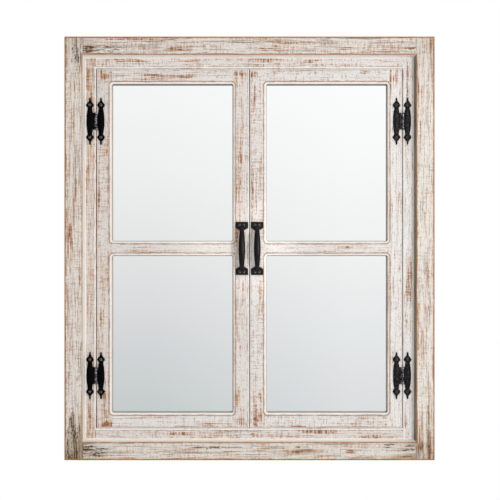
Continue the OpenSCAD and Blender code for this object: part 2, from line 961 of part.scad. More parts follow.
module door_hinge_nails(side)
    color(worn_iron)
        at_door_nails(side)
            pyramid_nail();

// ---- Pulls ----

// Centre line of the grip for t from -1 to 1: depth and height
function bow_point(t) = [
    -grip_root_y - (pull_reach - grip_root_y) * pow(max(cos(90 * t), 0), bow_power),
    grip_span / 2 * sin(90 * t)
];

// Direction of the centre line at t
function bow_way(t) =
    let (a = bow_point(max(t - 0.02, -1)), b = bow_point(min(t + 0.02, 1)))
    (b - a) / norm(b - a);

// Size of the grip at t, from its end size to its middle size
function grip_size(end_size, mid_size, t) =
    end_size + (mid_size - end_size) * pow(cos(90 * t), grip_swell);

function grip_ring(t) =
    let (
        centre = bow_point(t),
        way = bow_way(t),
        half_w = grip_size(grip_end_w, grip_mid_w, t) / 2,
        half_t = grip_size(grip_end_t, grip_mid_t, t) / 2
    )
    [
        for (n = [0:1:grip_sides - 1])
            let (turn = 360 * n / grip_sides)
            [
                half_w * cos(turn),
                centre[0] + half_t * sin(turn) * way[1],
                centre[1] - half_t * sin(turn) * way[0]
            ]
    ];

// Bowed grip swept through its rings, standing on the plane y = 0
module bowed_grip() {
    points = [for (k = [0:1:grip_rings]) each grip_ring(2 * k / grip_rings - 1)];
    sides = [
        for (k = [0:1:grip_rings - 1], n = [0:1:grip_sides - 1])
            let (a = k * grip_sides + n, b = k * grip_sides + (n + 1) % grip_sides)
            each [[a, a + grip_sides, b], [b, a + grip_sides, b + grip_sides]]
    ];
    first_cap = [for (n = [0:1:grip_sides - 1]) n];
    last_cap = [for (n = [grip_sides - 1:-1:0]) grip_rings * grip_sides + n];
    polyhedron(points, concat([first_cap], sides, [last_cap]));
}

// Foot of a pull with its shoulders, seen from the front
module foot_outline() {
    top = pull_l / 2;
    polygon([
        [-foot_w / 2, top], [foot_w / 2, top], [foot_w / 2, top - foot_l],
        [shoulder_w / 2, shoulder_z], [-shoulder_w / 2, shoulder_z],
        [-foot_w / 2, top - foot_l]
    ]);
}

module pull_feet()
    intersection() {
        for (turn = [0, 1])
            mirror([0, 0, turn])
                rotate([90, 0, 0])
                    linear_extrude(foot_t)
                        foot_outline();
        bevelled_slab(0, 0, foot_w, pull_l, -foot_t, 0, foot_bevel);
    }

module at_pull(side)
    translate([side * pull_x, face_y, mid_z])
        children();

module at_pull_screws(side)
    at_pull(side)
        for (end = [UPPER, LOWER], turn = [LEFT, RIGHT])
            translate([
                turn * pull_screw_pitch / 2, 0, end * (pull_l / 2 - pull_screw_inset)
            ])
                children();

module pull(side)
    color(black_iron)
        difference() {
            at_pull(side) {
                pull_feet();
                bowed_grip();
            }
            at_pull_screws(side)
                bar_y(pull_screw_d + 2 * fastener_play, -foot_t - through, through);
        }

module pull_screw_holes(side)
    at_pull_screws(side)
        bar_y(pull_screw_d + 2 * fastener_play, -through, pull_screw_l - foot_t + through);

module pull_screws(side)
    color(worn_iron)
        at_pull_screws(side)
            translate([0, -foot_t, 0])
                round_screw(pull_screw_head_d, pull_screw_head_h, pull_screw_d, pull_screw_l);

// ---- Assembly ----

outer_stile(LEFT);  // outer_left_stile
outer_stile(RIGHT);  // outer_right_stile
outer_rail(UPPER);  // outer_top_rail
outer_rail(LOWER);  // outer_bottom_rail
inner_stile(LEFT);  // inner_left_stile
inner_stile(RIGHT);  // inner_right_stile
inner_rail(UPPER);  // inner_top_rail
inner_rail(LOWER);  // inner_bottom_rail
frame_dowels();
lap_screws();
back_panel();
panel_brads();
hanger_plate(LEFT);  // hanger_plate_left
hanger_plate(RIGHT);  // hanger_plate_right
hanger_screws();
catch_magnets();
frame_leaf(LEFT, UPPER);  // upper_left_hinge_frame_leaf
frame_leaf(LEFT, LOWER);  // lower_left_hinge_frame_leaf
frame_leaf(RIGHT, UPPER);  // upper_right_hinge_frame_leaf
frame_leaf(RIGHT, LOWER);  // lower_right_hinge_frame_leaf
hinge_pins();
frame_hinge_nails();
hinge_stile(LEFT);  // left_door_hinge_stile
meeting_stile(LEFT);  // left_door_meeting_stile
door_rail(LEFT, UPPER);  // left_door_top_rail
door_rail(LEFT, LOWER);  // left_door_bottom_rail
door_muntin(LEFT);  // left_door_muntin
door_dowels(LEFT);  // left_door_dowels
mirror_glass(LEFT, UPPER);  // left_upper_mirror
mirror_glass(LEFT, LOWER);  // left_lower_mirror
mirror_backings(LEFT);  // left_mirror_backings
retainer_tabs(LEFT);  // left_retainer_tabs
tab_screws(LEFT);  // left_tab_screws
door_leaf(LEFT, UPPER);  // upper_left_hinge_door_leaf
door_leaf(LEFT, LOWER);  // lower_left_hinge_door_leaf
door_hinge_nails(LEFT);  // left_door_hinge_nails
pull(LEFT);  // left_pull
pull_screws(LEFT);  // left_pull_screws
catch_strike(LEFT);  // left_catch_strike
hinge_stile(RIGHT);  // right_door_hinge_stile
meeting_stile(RIGHT);  // right_door_meeting_stile
door_rail(RIGHT, UPPER);  // right_door_top_rail
door_rail(RIGHT, LOWER);  // right_door_bottom_rail
door_muntin(RIGHT);  // right_door_muntin
door_dowels(RIGHT);  // right_door_dowels
mirror_glass(RIGHT, UPPER);  // right_upper_mirror
mirror_glass(RIGHT, LOWER);  // right_lower_mirror
mirror_backings(RIGHT);  // right_mirror_backings
retainer_tabs(RIGHT);  // right_retainer_tabs
tab_screws(RIGHT);  // right_tab_screws
door_leaf(RIGHT, UPPER);  // upper_right_hinge_door_leaf
door_leaf(RIGHT, LOWER);  // lower_right_hinge_door_leaf
door_hinge_nails(RIGHT);  // right_door_hinge_nails
pull(RIGHT);  // right_pull
pull_screws(RIGHT);  // right_pull_screws
catch_strike(RIGHT);  // right_catch_strike
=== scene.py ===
import bpy
import json
import math
from mathutils import Vector
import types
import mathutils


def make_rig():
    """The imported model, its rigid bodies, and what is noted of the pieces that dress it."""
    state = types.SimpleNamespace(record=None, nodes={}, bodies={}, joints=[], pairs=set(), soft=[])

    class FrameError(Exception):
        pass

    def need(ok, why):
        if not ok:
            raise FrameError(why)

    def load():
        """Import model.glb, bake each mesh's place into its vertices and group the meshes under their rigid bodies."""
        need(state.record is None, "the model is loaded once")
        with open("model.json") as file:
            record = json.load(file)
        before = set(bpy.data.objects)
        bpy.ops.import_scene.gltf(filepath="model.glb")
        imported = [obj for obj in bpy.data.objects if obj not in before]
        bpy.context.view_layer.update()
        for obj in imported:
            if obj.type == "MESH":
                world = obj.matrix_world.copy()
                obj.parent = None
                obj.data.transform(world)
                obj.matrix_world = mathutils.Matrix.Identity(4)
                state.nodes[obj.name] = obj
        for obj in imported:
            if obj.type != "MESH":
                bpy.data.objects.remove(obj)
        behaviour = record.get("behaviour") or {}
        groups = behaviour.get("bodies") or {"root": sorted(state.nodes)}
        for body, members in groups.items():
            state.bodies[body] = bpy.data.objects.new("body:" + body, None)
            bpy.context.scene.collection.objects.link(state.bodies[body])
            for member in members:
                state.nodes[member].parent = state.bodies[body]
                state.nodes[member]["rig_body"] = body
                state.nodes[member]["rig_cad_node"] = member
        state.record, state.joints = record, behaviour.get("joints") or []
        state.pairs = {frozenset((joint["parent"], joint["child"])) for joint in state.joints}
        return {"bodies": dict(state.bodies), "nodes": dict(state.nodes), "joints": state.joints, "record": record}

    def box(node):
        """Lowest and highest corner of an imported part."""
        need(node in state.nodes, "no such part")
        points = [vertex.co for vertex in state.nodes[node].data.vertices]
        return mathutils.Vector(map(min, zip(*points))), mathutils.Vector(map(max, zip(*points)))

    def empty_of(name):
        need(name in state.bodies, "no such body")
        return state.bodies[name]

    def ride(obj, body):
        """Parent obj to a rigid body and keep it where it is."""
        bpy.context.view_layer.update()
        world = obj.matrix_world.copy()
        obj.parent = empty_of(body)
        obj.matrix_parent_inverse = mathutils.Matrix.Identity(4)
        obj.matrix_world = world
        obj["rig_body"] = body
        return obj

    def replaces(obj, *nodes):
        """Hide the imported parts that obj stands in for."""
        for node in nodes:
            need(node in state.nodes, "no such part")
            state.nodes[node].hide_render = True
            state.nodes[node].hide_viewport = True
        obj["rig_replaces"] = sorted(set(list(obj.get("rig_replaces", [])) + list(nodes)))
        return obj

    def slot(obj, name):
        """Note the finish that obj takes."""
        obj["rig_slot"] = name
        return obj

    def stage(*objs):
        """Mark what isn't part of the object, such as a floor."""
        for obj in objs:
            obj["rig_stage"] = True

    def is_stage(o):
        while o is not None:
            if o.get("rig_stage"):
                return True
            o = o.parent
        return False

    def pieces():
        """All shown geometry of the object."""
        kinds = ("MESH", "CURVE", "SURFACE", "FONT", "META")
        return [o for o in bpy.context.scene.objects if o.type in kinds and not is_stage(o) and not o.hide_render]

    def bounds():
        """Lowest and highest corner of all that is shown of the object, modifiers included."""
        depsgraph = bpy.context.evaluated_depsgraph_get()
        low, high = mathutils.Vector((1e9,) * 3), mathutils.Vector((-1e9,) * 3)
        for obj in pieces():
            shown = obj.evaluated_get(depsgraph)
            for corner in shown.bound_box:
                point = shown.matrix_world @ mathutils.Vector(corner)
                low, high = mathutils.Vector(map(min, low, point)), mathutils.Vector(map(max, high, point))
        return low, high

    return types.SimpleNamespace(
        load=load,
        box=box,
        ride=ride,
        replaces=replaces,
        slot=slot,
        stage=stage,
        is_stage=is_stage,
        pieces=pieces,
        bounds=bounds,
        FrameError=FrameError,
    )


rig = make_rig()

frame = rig.load()

lowest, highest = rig.bounds()
with open("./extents.json", "w") as sizeFile:
    json.dump({"lowest": list(lowest), "highest": list(highest)}, sizeFile)
print("frame loaded:", len(frame["nodes"]), "nodes")

mm = 0.001
midHeight = -272.5  # height of the middle of the mirror, mm
faceDepth = -22  # front of the doors and the inner frame, mm
frontDepth = -38  # front of the outer frame, mm


def toLinear(hexColour):
    parts = [int(hexColour[k:k + 2], 16) / 255 for k in (1, 3, 5)]
    return [c / 12.92 if c <= 0.04045 else ((c + 0.055) / 1.055) ** 2.4 for c in parts] + [1]


def addNode(tree, kind, inputs=None, stops=None, **settings):
    node = tree.nodes.new("ShaderNode" + kind)
    for name, value in settings.items():
        setattr(node, name, value)
    for key, value in (inputs or {}).items():
        if isinstance(value, bpy.types.NodeSocket):
            tree.links.new(value, node.inputs[key])
        else:
            node.inputs[key].default_value = value
    for number, (spot, shade) in enumerate(stops or []):
        points = node.color_ramp.elements
        point = points[number] if number < 2 else points.new(spot)
        point.position = spot
        point.color = toLinear(shade)
    return node


smooth = {"interpolation_type": "SMOOTHSTEP"}  # how Map Range nodes ease between two values
mixed = {"data_type": "RGBA"}  # Mix nodes that lay one colour over another


def newMaterial(name, **values):
    material = bpy.data.materials.new(name)
    material.use_nodes = True
    shader = material.node_tree.nodes["Principled BSDF"]
    for key, value in values.items():
        shader.inputs[key.replace("_", " ")].default_value = value
    return material, material.node_tree, shader


def finishNodes(material, *names):
    for name in names:
        for slot in frame["nodes"][name].material_slots:
            slot.material = material


# Noise drawn out along the first axis: its marks have this length and width in mm
def drawnNoise(tree, place, lengthMm, widthMm, detail=3, roughness=0.55):
    stretched = addNode(tree, "VectorMath", {
        0: place, 1: (1 / (lengthMm * mm), 1 / (widthMm * mm), 1 / (widthMm * mm))},
        operation="MULTIPLY").outputs[0]
    return addNode(tree, "TexNoise", {
        "Vector": stretched, "Scale": 1, "Detail": detail, "Roughness": roughness}).outputs[0]


# Sum of the first of each pair times the second, so that one pair gives a product
def addUp(tree, *terms):
    total = 0
    for socket, weight in terms:
        total = addNode(tree, "Math", {0: socket, 1: weight, 2: total},
                        operation="MULTIPLY_ADD").outputs[0]
    return total


# Distance in metres from the edges of a rectangle that is mirrored over both middle lines of
# the object, negative inside it: centre, half sizes and corner radius in mm.
# With a depth it is the distance from the edges as they lie at that depth.
def edgeDistance(tree, place, halfX, halfZ, centreX=0, centreZ=0, corner=0, depth=None):
    parts = addNode(tree, "SeparateXYZ", {0: place}).outputs
    sides = []
    for axis, middle, centre, half in ((0, 0, centreX, halfX), (2, midHeight, centreZ, halfZ)):
        value = parts[axis]
        for step in (middle, centre):
            moved = addNode(tree, "Math", {0: value, 1: step * mm},
                            operation="SUBTRACT").outputs[0]
            value = addNode(tree, "Math", {0: moved}, operation="ABSOLUTE").outputs[0]
        sides.append(addNode(tree, "Math", {
            0: value, 1: (half - corner) * mm}, operation="SUBTRACT").outputs[0])
    distance = addNode(tree, "Math", {0: sides[0], 1: sides[1]}, operation="MAXIMUM").outputs[0]
    if corner:
        within = addNode(tree, "Math", {0: distance, 1: 0.0}, operation="MINIMUM").outputs[0]
        across, up = [addNode(tree, "Math", {0: side, 1: 0.0}, operation="MAXIMUM").outputs[0]
                      for side in sides]
        beyondBoth = addNode(tree, "CombineXYZ", {0: across, 1: up}).outputs[0]
        outer = addNode(tree, "VectorMath", {0: beyondBoth}, operation="LENGTH").outputs["Value"]
        distance = addUp(tree, (outer, 1), (within, 1), (corner * mm, -1))
    if depth is None:
        return distance
    back = addNode(tree, "Math", {0: parts[1], 1: depth * mm}, operation="SUBTRACT").outputs[0]
    apart = addNode(tree, "CombineXYZ", {0: distance, 1: back}).outputs[0]
    return addNode(tree, "VectorMath", {0: apart}, operation="LENGTH").outputs["Value"]


# Sawn pine, whitewashed and rubbed back: soft matt white that thins along the grain, brown
# wood at the worn streaks and arrises, and saw marks that comb the worn places. The saw marks
# of the real boards are about 1.5 mm apart, and are drawn at 2.5 mm so that they show.
pine = {
    "thinWash": "#C5AB98", "stained": "#D3A37C", "bare": "#A96D3C", "bareDark": "#734527",
    "line": "#5C4333", "dash": "#4A3321", "grime": "#A38A5E", "arris": "#BC833F",
    # cream is painted highlight and painted light, and lip is painted shade by the glass
    "arrisDark": "#8C5626", "paintedLightCream": "#FDFBF7", "lip": "#38290F", "joint": "#3E2F26",
    # reveal is painted shade for the right-hand reveal
    "reveal": "#857E6B", "edgeWood": "#9C6C42", "raw": "#E2BF90", "rawDark": "#BF8F5A",
    # length and width of the marks of each pattern, and how far the grain sways
    "streakMm": (70, 1.9), "fineMm": (14, 1.4), "broadMm": (120, 6), "patchMm": (110, 18),
    "lineMm": (60, 1.3), "sawMm": (2.5, 17), "poreMm": (3.2, 1.1), "spotMm": (50, 22),
    "speckleMm": (4, 1.6), "ringMm": (240, 1.1), "backRingMm": (420, 3.2),
    "wanderMm": (170, 60), "swayMm": 7,
    "waverMm": 2,  # how far the broad pattern shifts the worn lines at the edges
    # middle of the grime at each outer corner, from the middle of the mirror
    "grimeX": 300, "grimeZ": 345,
}


# A board's own look: rub bares the wood, thin thins the wash, saw combs what is rubbed, ribs
# lets the saw marks thin the wash too, and lines and dashes are the dark marks. Soiled boards
# have grimy corners, and the reveal that faces inward takes painted light, or painted shade on the darkened one.
def whitewashedPine(name, grain, seed, wash="#F1ECE8", rub=0.5, thin=0.5, saw=0.5,
                    lines=0.4, dashes=0.3, edges=(), marks=(), pane=False, inward=None,
                    soiled=0.0, shadedReveal=False, revealShading=0.85, ribs=0.24):
    material, tree, shader = newMaterial(name, Roughness=0.72, Specular_IOR_Level=0.35)
    coordinates = addNode(tree, "TexCoord")
    place = coordinates.outputs["Object"]
    facing = addNode(tree, "SeparateXYZ", {0: coordinates.outputs["Normal"]}).outputs
    # every board takes its pattern from another place, turned to run along the board
    turned = addNode(tree, "Mapping", {
        "Vector": place, "Location": (0.37 * seed, 0.21 * seed, 0.13 * seed),
        "Rotation": (0, math.pi / 2, 0) if grain == "z" else (0, 0, 0)}).outputs[0]
    otherPlace = addNode(tree, "VectorMath", {0: turned, 1: (1.7, 0.9, 2.3)}).outputs[0]
    wander = drawnNoise(tree, turned, *pine["wanderMm"], 1)
    sway = pine["swayMm"] * mm
    waved = addNode(tree, "VectorMath", {
        0: (0, sway, sway), 1: wander, 2: turned}, operation="MULTIPLY_ADD").outputs[0]
    streak = drawnNoise(tree, waved, *pine["streakMm"], 6, 0.68)
    fine = drawnNoise(tree, waved, *pine["fineMm"], 4, 0.7)
    rings = drawnNoise(tree, waved, *pine["ringMm"])
    backRings = drawnNoise(tree, waved, *pine["backRingMm"])
    patch = drawnNoise(tree, turned, *pine["patchMm"], 3, 0.5)
    sawn = drawnNoise(tree, turned, *pine["sawMm"], 2, 0.6)
    broad = drawnNoise(tree, otherPlace, *pine["broadMm"], 5, 0.62)
    spots = drawnNoise(tree, otherPlace, *pine["spotMm"], 2)
    speckle = drawnNoise(tree, otherPlace, *pine["speckleMm"], 3, 0.7)
    grainLine = drawnNoise(tree, otherPlace, *pine["lineMm"], 4, 0.7)
    pores = drawnNoise(tree, otherPlace, *pine["poreMm"], 2, 0.6)

    wornBy, dirtBy = [], []
    for x, z, halfX, halfZ, wornMore, dirtMore in marks:
        towards = addNode(tree, "VectorMath", {0: place, 1: (x * mm, 0, z * mm)},
                          operation="SUBTRACT").outputs[0]
        scaled = addNode(tree, "VectorMath", {
            0: towards, 1: (1 / (halfX * mm), 0, 1 / (halfZ * mm))},
            operation="MULTIPLY").outputs[0]
        gap = addNode(tree, "VectorMath", {0: scaled}, operation="LENGTH").outputs[1]
        mark = addNode(tree, "MapRange", {
            0: gap, 1: 0.4, 2: 1.5, 3: 1, 4: 0}, **smooth).outputs[0]
        wornBy.append((mark, wornMore))
        dirtBy.append((mark, dirtMore))

    # the wash: thin along the grain, with dark grain lines and pores
    thinness = addUp(tree, (streak, 0.52 - ribs / 2), (fine, 0.3 - ribs / 2), (broad, 0.18),
                     (sawn, ribs))
    thinFrom = 0.57 - 0.14 * thin
    thinned = addNode(tree, "MapRange", {
        0: thinness, 1: thinFrom, 2: thinFrom + 0.06, 3: 0, 4: 0.85}, **smooth).outputs[0]
    lineFrom = 0.62 - 0.1 * lines
    lined = addNode(tree, "MapRange", {
        0: grainLine, 1: lineFrom, 2: lineFrom + 0.05, 3: 0, 4: 0.3 + 0.6 * lines},
        **smooth).outputs[0]
    pitted = addNode(tree, "MapRange", {
        0: pores, 1: 0.36, 2: 0.46, 3: 0.27, 4: 0}, **smooth).outputs[0]
    # worn places: stained wash, then bare wood, both combed by the saw marks
    comb = addNode(tree, "MapRange", {
        0: sawn, 1: 0.42, 2: 0.56, 3: 1 - saw, 4: 1}, **smooth).outputs[0]
    worn = addUp(tree, (streak, 0.36), (fine, 0.22), (patch, 0.2), (broad, 0.22), *wornBy)
    wornFrom = 0.6 - 0.1 * rub
    stained = addNode(tree, "MapRange", {
        0: worn, 1: wornFrom - 0.025, 2: wornFrom, 3: 0, 4: 0.8}, **smooth).outputs[0]
    bared = addNode(tree, "MapRange", {
        0: worn, 1: wornFrom + 0.008, 2: wornFrom + 0.022, 3: 0, 4: 0.95}, **smooth).outputs[0]
    bareWood = addNode(tree, "ValToRGB", {0: rings}, stops=[
        (0.38, pine["bareDark"]), (0.6, pine["bare"])]).outputs[0]
    coats = [(thinned, "thinWash"), (lined, "line"), (pitted, "line"),
             (addUp(tree, (stained, comb)), "stained"), (addUp(tree, (bared, comb)), "bareWood")]

    dirt = addUp(tree, (fine, 0.35), (streak, 0.25), (speckle, 0.25), (spots, 0.15), *dirtBy)
    if soiled:
        # grime gathers towards the outer corners, most at the lower ones
        away = edgeDistance(tree, place, 0, 0, pine["grimeX"], pine["grimeZ"])
        spread = addUp(tree, (away, 1), (patch, -120 * mm), (streak, -50 * mm))
        near = addNode(tree, "MapRange", {
            0: spread, 1: -90 * mm, 2: 0, 3: 1, 4: 0}, **smooth).outputs[0]
        height = addNode(tree, "SeparateXYZ", {0: place}).outputs[2]
        lower = addNode(tree, "MapRange", {
            0: height, 1: -600 * mm, 2: 50 * mm, 3: soiled, 4: 0.45 * soiled},
            **smooth).outputs[0]
        corner = addUp(tree, (near, lower))
        blotches = addNode(tree, "MapRange", {
            0: broad, 1: 0.35, 2: 0.6, 3: 0.35, 4: 1}, **smooth).outputs[0]
        coats.append((addUp(tree, (corner, blotches)), "grime"))
        dirt = addUp(tree, (dirt, 1), (corner, 0.075))
    dirtFrom = 0.645 - 0.08 * dashes
    dashed = addNode(tree, "MapRange", {
        0: dirt, 1: dirtFrom, 2: dirtFrom + 0.015, 3: 0, 4: 0.95}, **smooth).outputs[0]
    coats.append((dashed, "dash"))

    if pane:
        inside = edgeDistance(tree, place, **paneEdge)
        # cream band along the moulding: a painted highlight, fainter on faces turned to the left, into the shade
        mouldingEdge = addUp(tree, (inside, 1), (fine, 1.2 * mm))
        band = addNode(tree, "MapRange", {
            0: mouldingEdge, 1: -0.2 * mm, 2: 0.6 * mm, 3: 1, 4: 0}, **smooth).outputs[0]
        leftward = addNode(tree, "MapRange", {
            0: facing[0], 1: -0.5, 2: -0.1, 3: 0.35, 4: 0.75}, **smooth).outputs[0]
        coats.append((addUp(tree, (band, leftward)), "paintedLightCream"))
        # painted shade at the foot of the moulding, by the glass: darkest where the faces turn down or left, faintest
        # where they turn right
        mouldingFoot = addUp(tree, (inside, 1), (fine, mm))
        foot = addNode(tree, "MapRange", {
            0: mouldingFoot, 1: -3.7 * mm, 2: -2.8 * mm, 3: 1, 4: 0}, **smooth).outputs[0]
        upright = addNode(tree, "Math", {0: facing[2]}, operation="ABSOLUTE").outputs[0]
        lean = addUp(tree, (facing[0], -1), (upright, 0.9), (facing[2], -0.25))
        shadedSide = addNode(tree, "MapRange", {
            0: lean, 1: -1, 2: 1.6, 3: 0.05, 4: 1}, **smooth).outputs[0]
        coats.append((addUp(tree, (foot, shadedSide)), "lip"))

    browned = addNode(tree, "MapRange", {0: fine, 1: 0.38, 2: 0.6}, **smooth).outputs[0]
    arrisWood = addNode(tree, "Mix", {
        0: browned, 6: toLinear(pine["arrisDark"]), 7: toLinear(pine["arris"])},
        **mixed).outputs[2]
    for rim in edges:
        gap = edgeDistance(tree, place, **rim["rectangle"])
        ragged = addUp(tree, (gap, 1), (fine, rim["raggedMm"] * mm), (broad, pine["waverMm"] * mm))
        # both patterns are a half on average, so they move the line by half their reach
        full = (rim["raggedMm"] + pine["waverMm"]) / 2 + rim["fullMm"]
        line = addNode(tree, "MapRange", {
            0: ragged, 1: full * mm, 2: (full + rim["fadeMm"]) * mm, 3: rim["strength"],
            4: 0}, **smooth).outputs[0]
        coats.append((line, rim["tone"]))

    if inward:
        # painted light on the reveal round the doors, and painted shade instead on the right-hand one, which faces
        # away from the light
        turnedIn = addNode(tree, "VectorMath", {
            0: coordinates.outputs["Normal"], 1: inward}, operation="DOT_PRODUCT").outputs[1]
        reveal = addNode(tree, "MapRange", {
            0: turnedIn, 1: 0.6, 2: 0.9, 3: 0, 4: revealShading}, **smooth).outputs[0]
        coats.append((reveal, "reveal" if shadedReveal else "paintedLightCream"))
    else:
        # the edges inside the upright seams are bare
        sideways = addNode(tree, "Math", {0: facing[0]}, operation="ABSOLUTE").outputs[0]
        seamEdge = addNode(tree, "MapRange", {
            0: sideways, 1: 0.85, 2: 0.97, 3: 0, 4: 0.7}, **smooth).outputs[0]
        coats.append((seamEdge, "edgeWood"))
    # the backs were never painted
    backGrain = addUp(tree, (backRings, 0.75), (fine, 0.25))
    rawWood = addNode(tree, "ValToRGB", {0: backGrain}, stops=[
        (0.4, pine["rawDark"]), (0.54, pine["raw"])]).outputs[0]
    rearward = addNode(tree, "MapRange", {0: facing[1], 1: 0.5, 2: 0.8}, **smooth).outputs[0]
    coats.append((rearward, "rawWood"))

    # every coat and kind of wear lies over the ones before it
    woods = {"bareWood": bareWood, "arris": arrisWood, "rawWood": rawWood}
    colour = toLinear(wash)
    for amount, tone in coats:
        colour = addNode(tree, "Mix", {
            0: amount, 6: colour, 7: woods.get(tone) or toLinear(pine[tone])},
            blend_type="MULTIPLY" if tone in ("grime", "reveal") else "MIX",
            **mixed).outputs[2]
    relief = addUp(tree, (streak, 0.45), (fine, 0.3), (sawn, 0.25))
    bump = addNode(tree, "Bump", {
        "Height": relief, "Strength": 0.7, "Distance": 0.7 * mm}).outputs[0]
    tree.links.new(colour, shader.inputs["Base Color"])
    tree.links.new(bump, shader.inputs["Normal"])
    return material


# A worn or coated line along a rectangle's edges: full to fullMm away, gone fadeMm further off
def wornEdge(halfX, halfZ, fullMm, fadeMm, strength, tone="arris", raggedMm=2.4, **more):
    return {"rectangle": dict(halfX=halfX, halfZ=halfZ, **more), "fullMm": fullMm,
            "fadeMm": fadeMm, "strength": strength, "tone": tone, "raggedMm": raggedMm}


# The leaf and its panes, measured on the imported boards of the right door, in mm
moulding = 5.1
seamBevel = 2
meeting = [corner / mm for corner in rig.box("right_door_meeting_stile")]
hanging = [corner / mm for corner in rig.box("right_door_hinge_stile")]
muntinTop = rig.box("right_door_muntin")[1].z / mm - midHeight
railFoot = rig.box("right_door_top_rail")[0].z / mm - midHeight
paneEdge = dict(
    halfX=(hanging[0].x - meeting[1].x) / 2 + moulding, halfZ=(railFoot - muntinTop) / 2 + moulding,
    centreX=(hanging[0].x + meeting[1].x) / 2, centreZ=(railFoot + muntinTop) / 2, corner=7.1)
leafEdge, leafBevel = [dict(
    halfX=(hanging[1].x - meeting[0].x) / 2 - step, halfZ=hanging[1].z - midHeight - step,
    centreX=(hanging[1].x + meeting[0].x) / 2, depth=faceDepth + seamBevel - step)
    for step in (seamBevel, seamBevel / 2)]
print("pane", paneEdge, "leaf", leafEdge)

# Half width and height of the frame, of the opening in it and of the doorway, in mm
outline, opening, doorway = (308, 352.5), (277, 321.5), (259.5, 304)
beyond = 500  # half height that leaves only the upright sides of a rectangle on the frame
bevelled = (doorway[0] + 2.5, doorway[1] + 2.3)  # just outside the bevel of the doorway


# The joint lines of the outer frame, and its outer and inner arris, worn this strongly
def frameEdges(outside, inside):
    return [wornEdge(opening[0], beyond, 0.1, 0.5, 0.8, "joint", depth=frontDepth),
            wornEdge(*outline, 2.3, 0.8, outside, depth=frontDepth, raggedMm=4),
            wornEdge(*opening, 1.9, 0.7, inside, depth=frontDepth, raggedMm=4)]


# cream on the doorway's bevel is a painted highlight, and cream at the foot of the opening is painted light against
# the shade of the reveal
innerEdges = [wornEdge(*doorway, 1.3, 0.5, 0.85, "paintedLightCream", depth=faceDepth, raggedMm=3),
              wornEdge(*opening, 1.6, 1, 0.8, "paintedLightCream", depth=faceDepth, raggedMm=3)]
innerRailEdges = innerEdges + [wornEdge(*bevelled, 0.1, 0.5, 0.6, depth=faceDepth, raggedMm=6)]
# the cream on the bevel round each door is a painted highlight
leafEdges = [
    wornEdge(fullMm=0.9, fadeMm=0.4, strength=0.9, tone="paintedLightCream", raggedMm=2, **leafBevel),
    wornEdge(fullMm=-0.6, fadeMm=0.8, strength=0.7, raggedMm=9, **leafEdge),
    wornEdge(fullMm=0.6, fadeMm=1.0, strength=0.7, depth=faceDepth, raggedMm=5, **paneEdge),
]
doorRailEdges = leafEdges + [wornEdge(fullMm=0.1, fadeMm=0.6, strength=0.6, raggedMm=5, **leafEdge)]

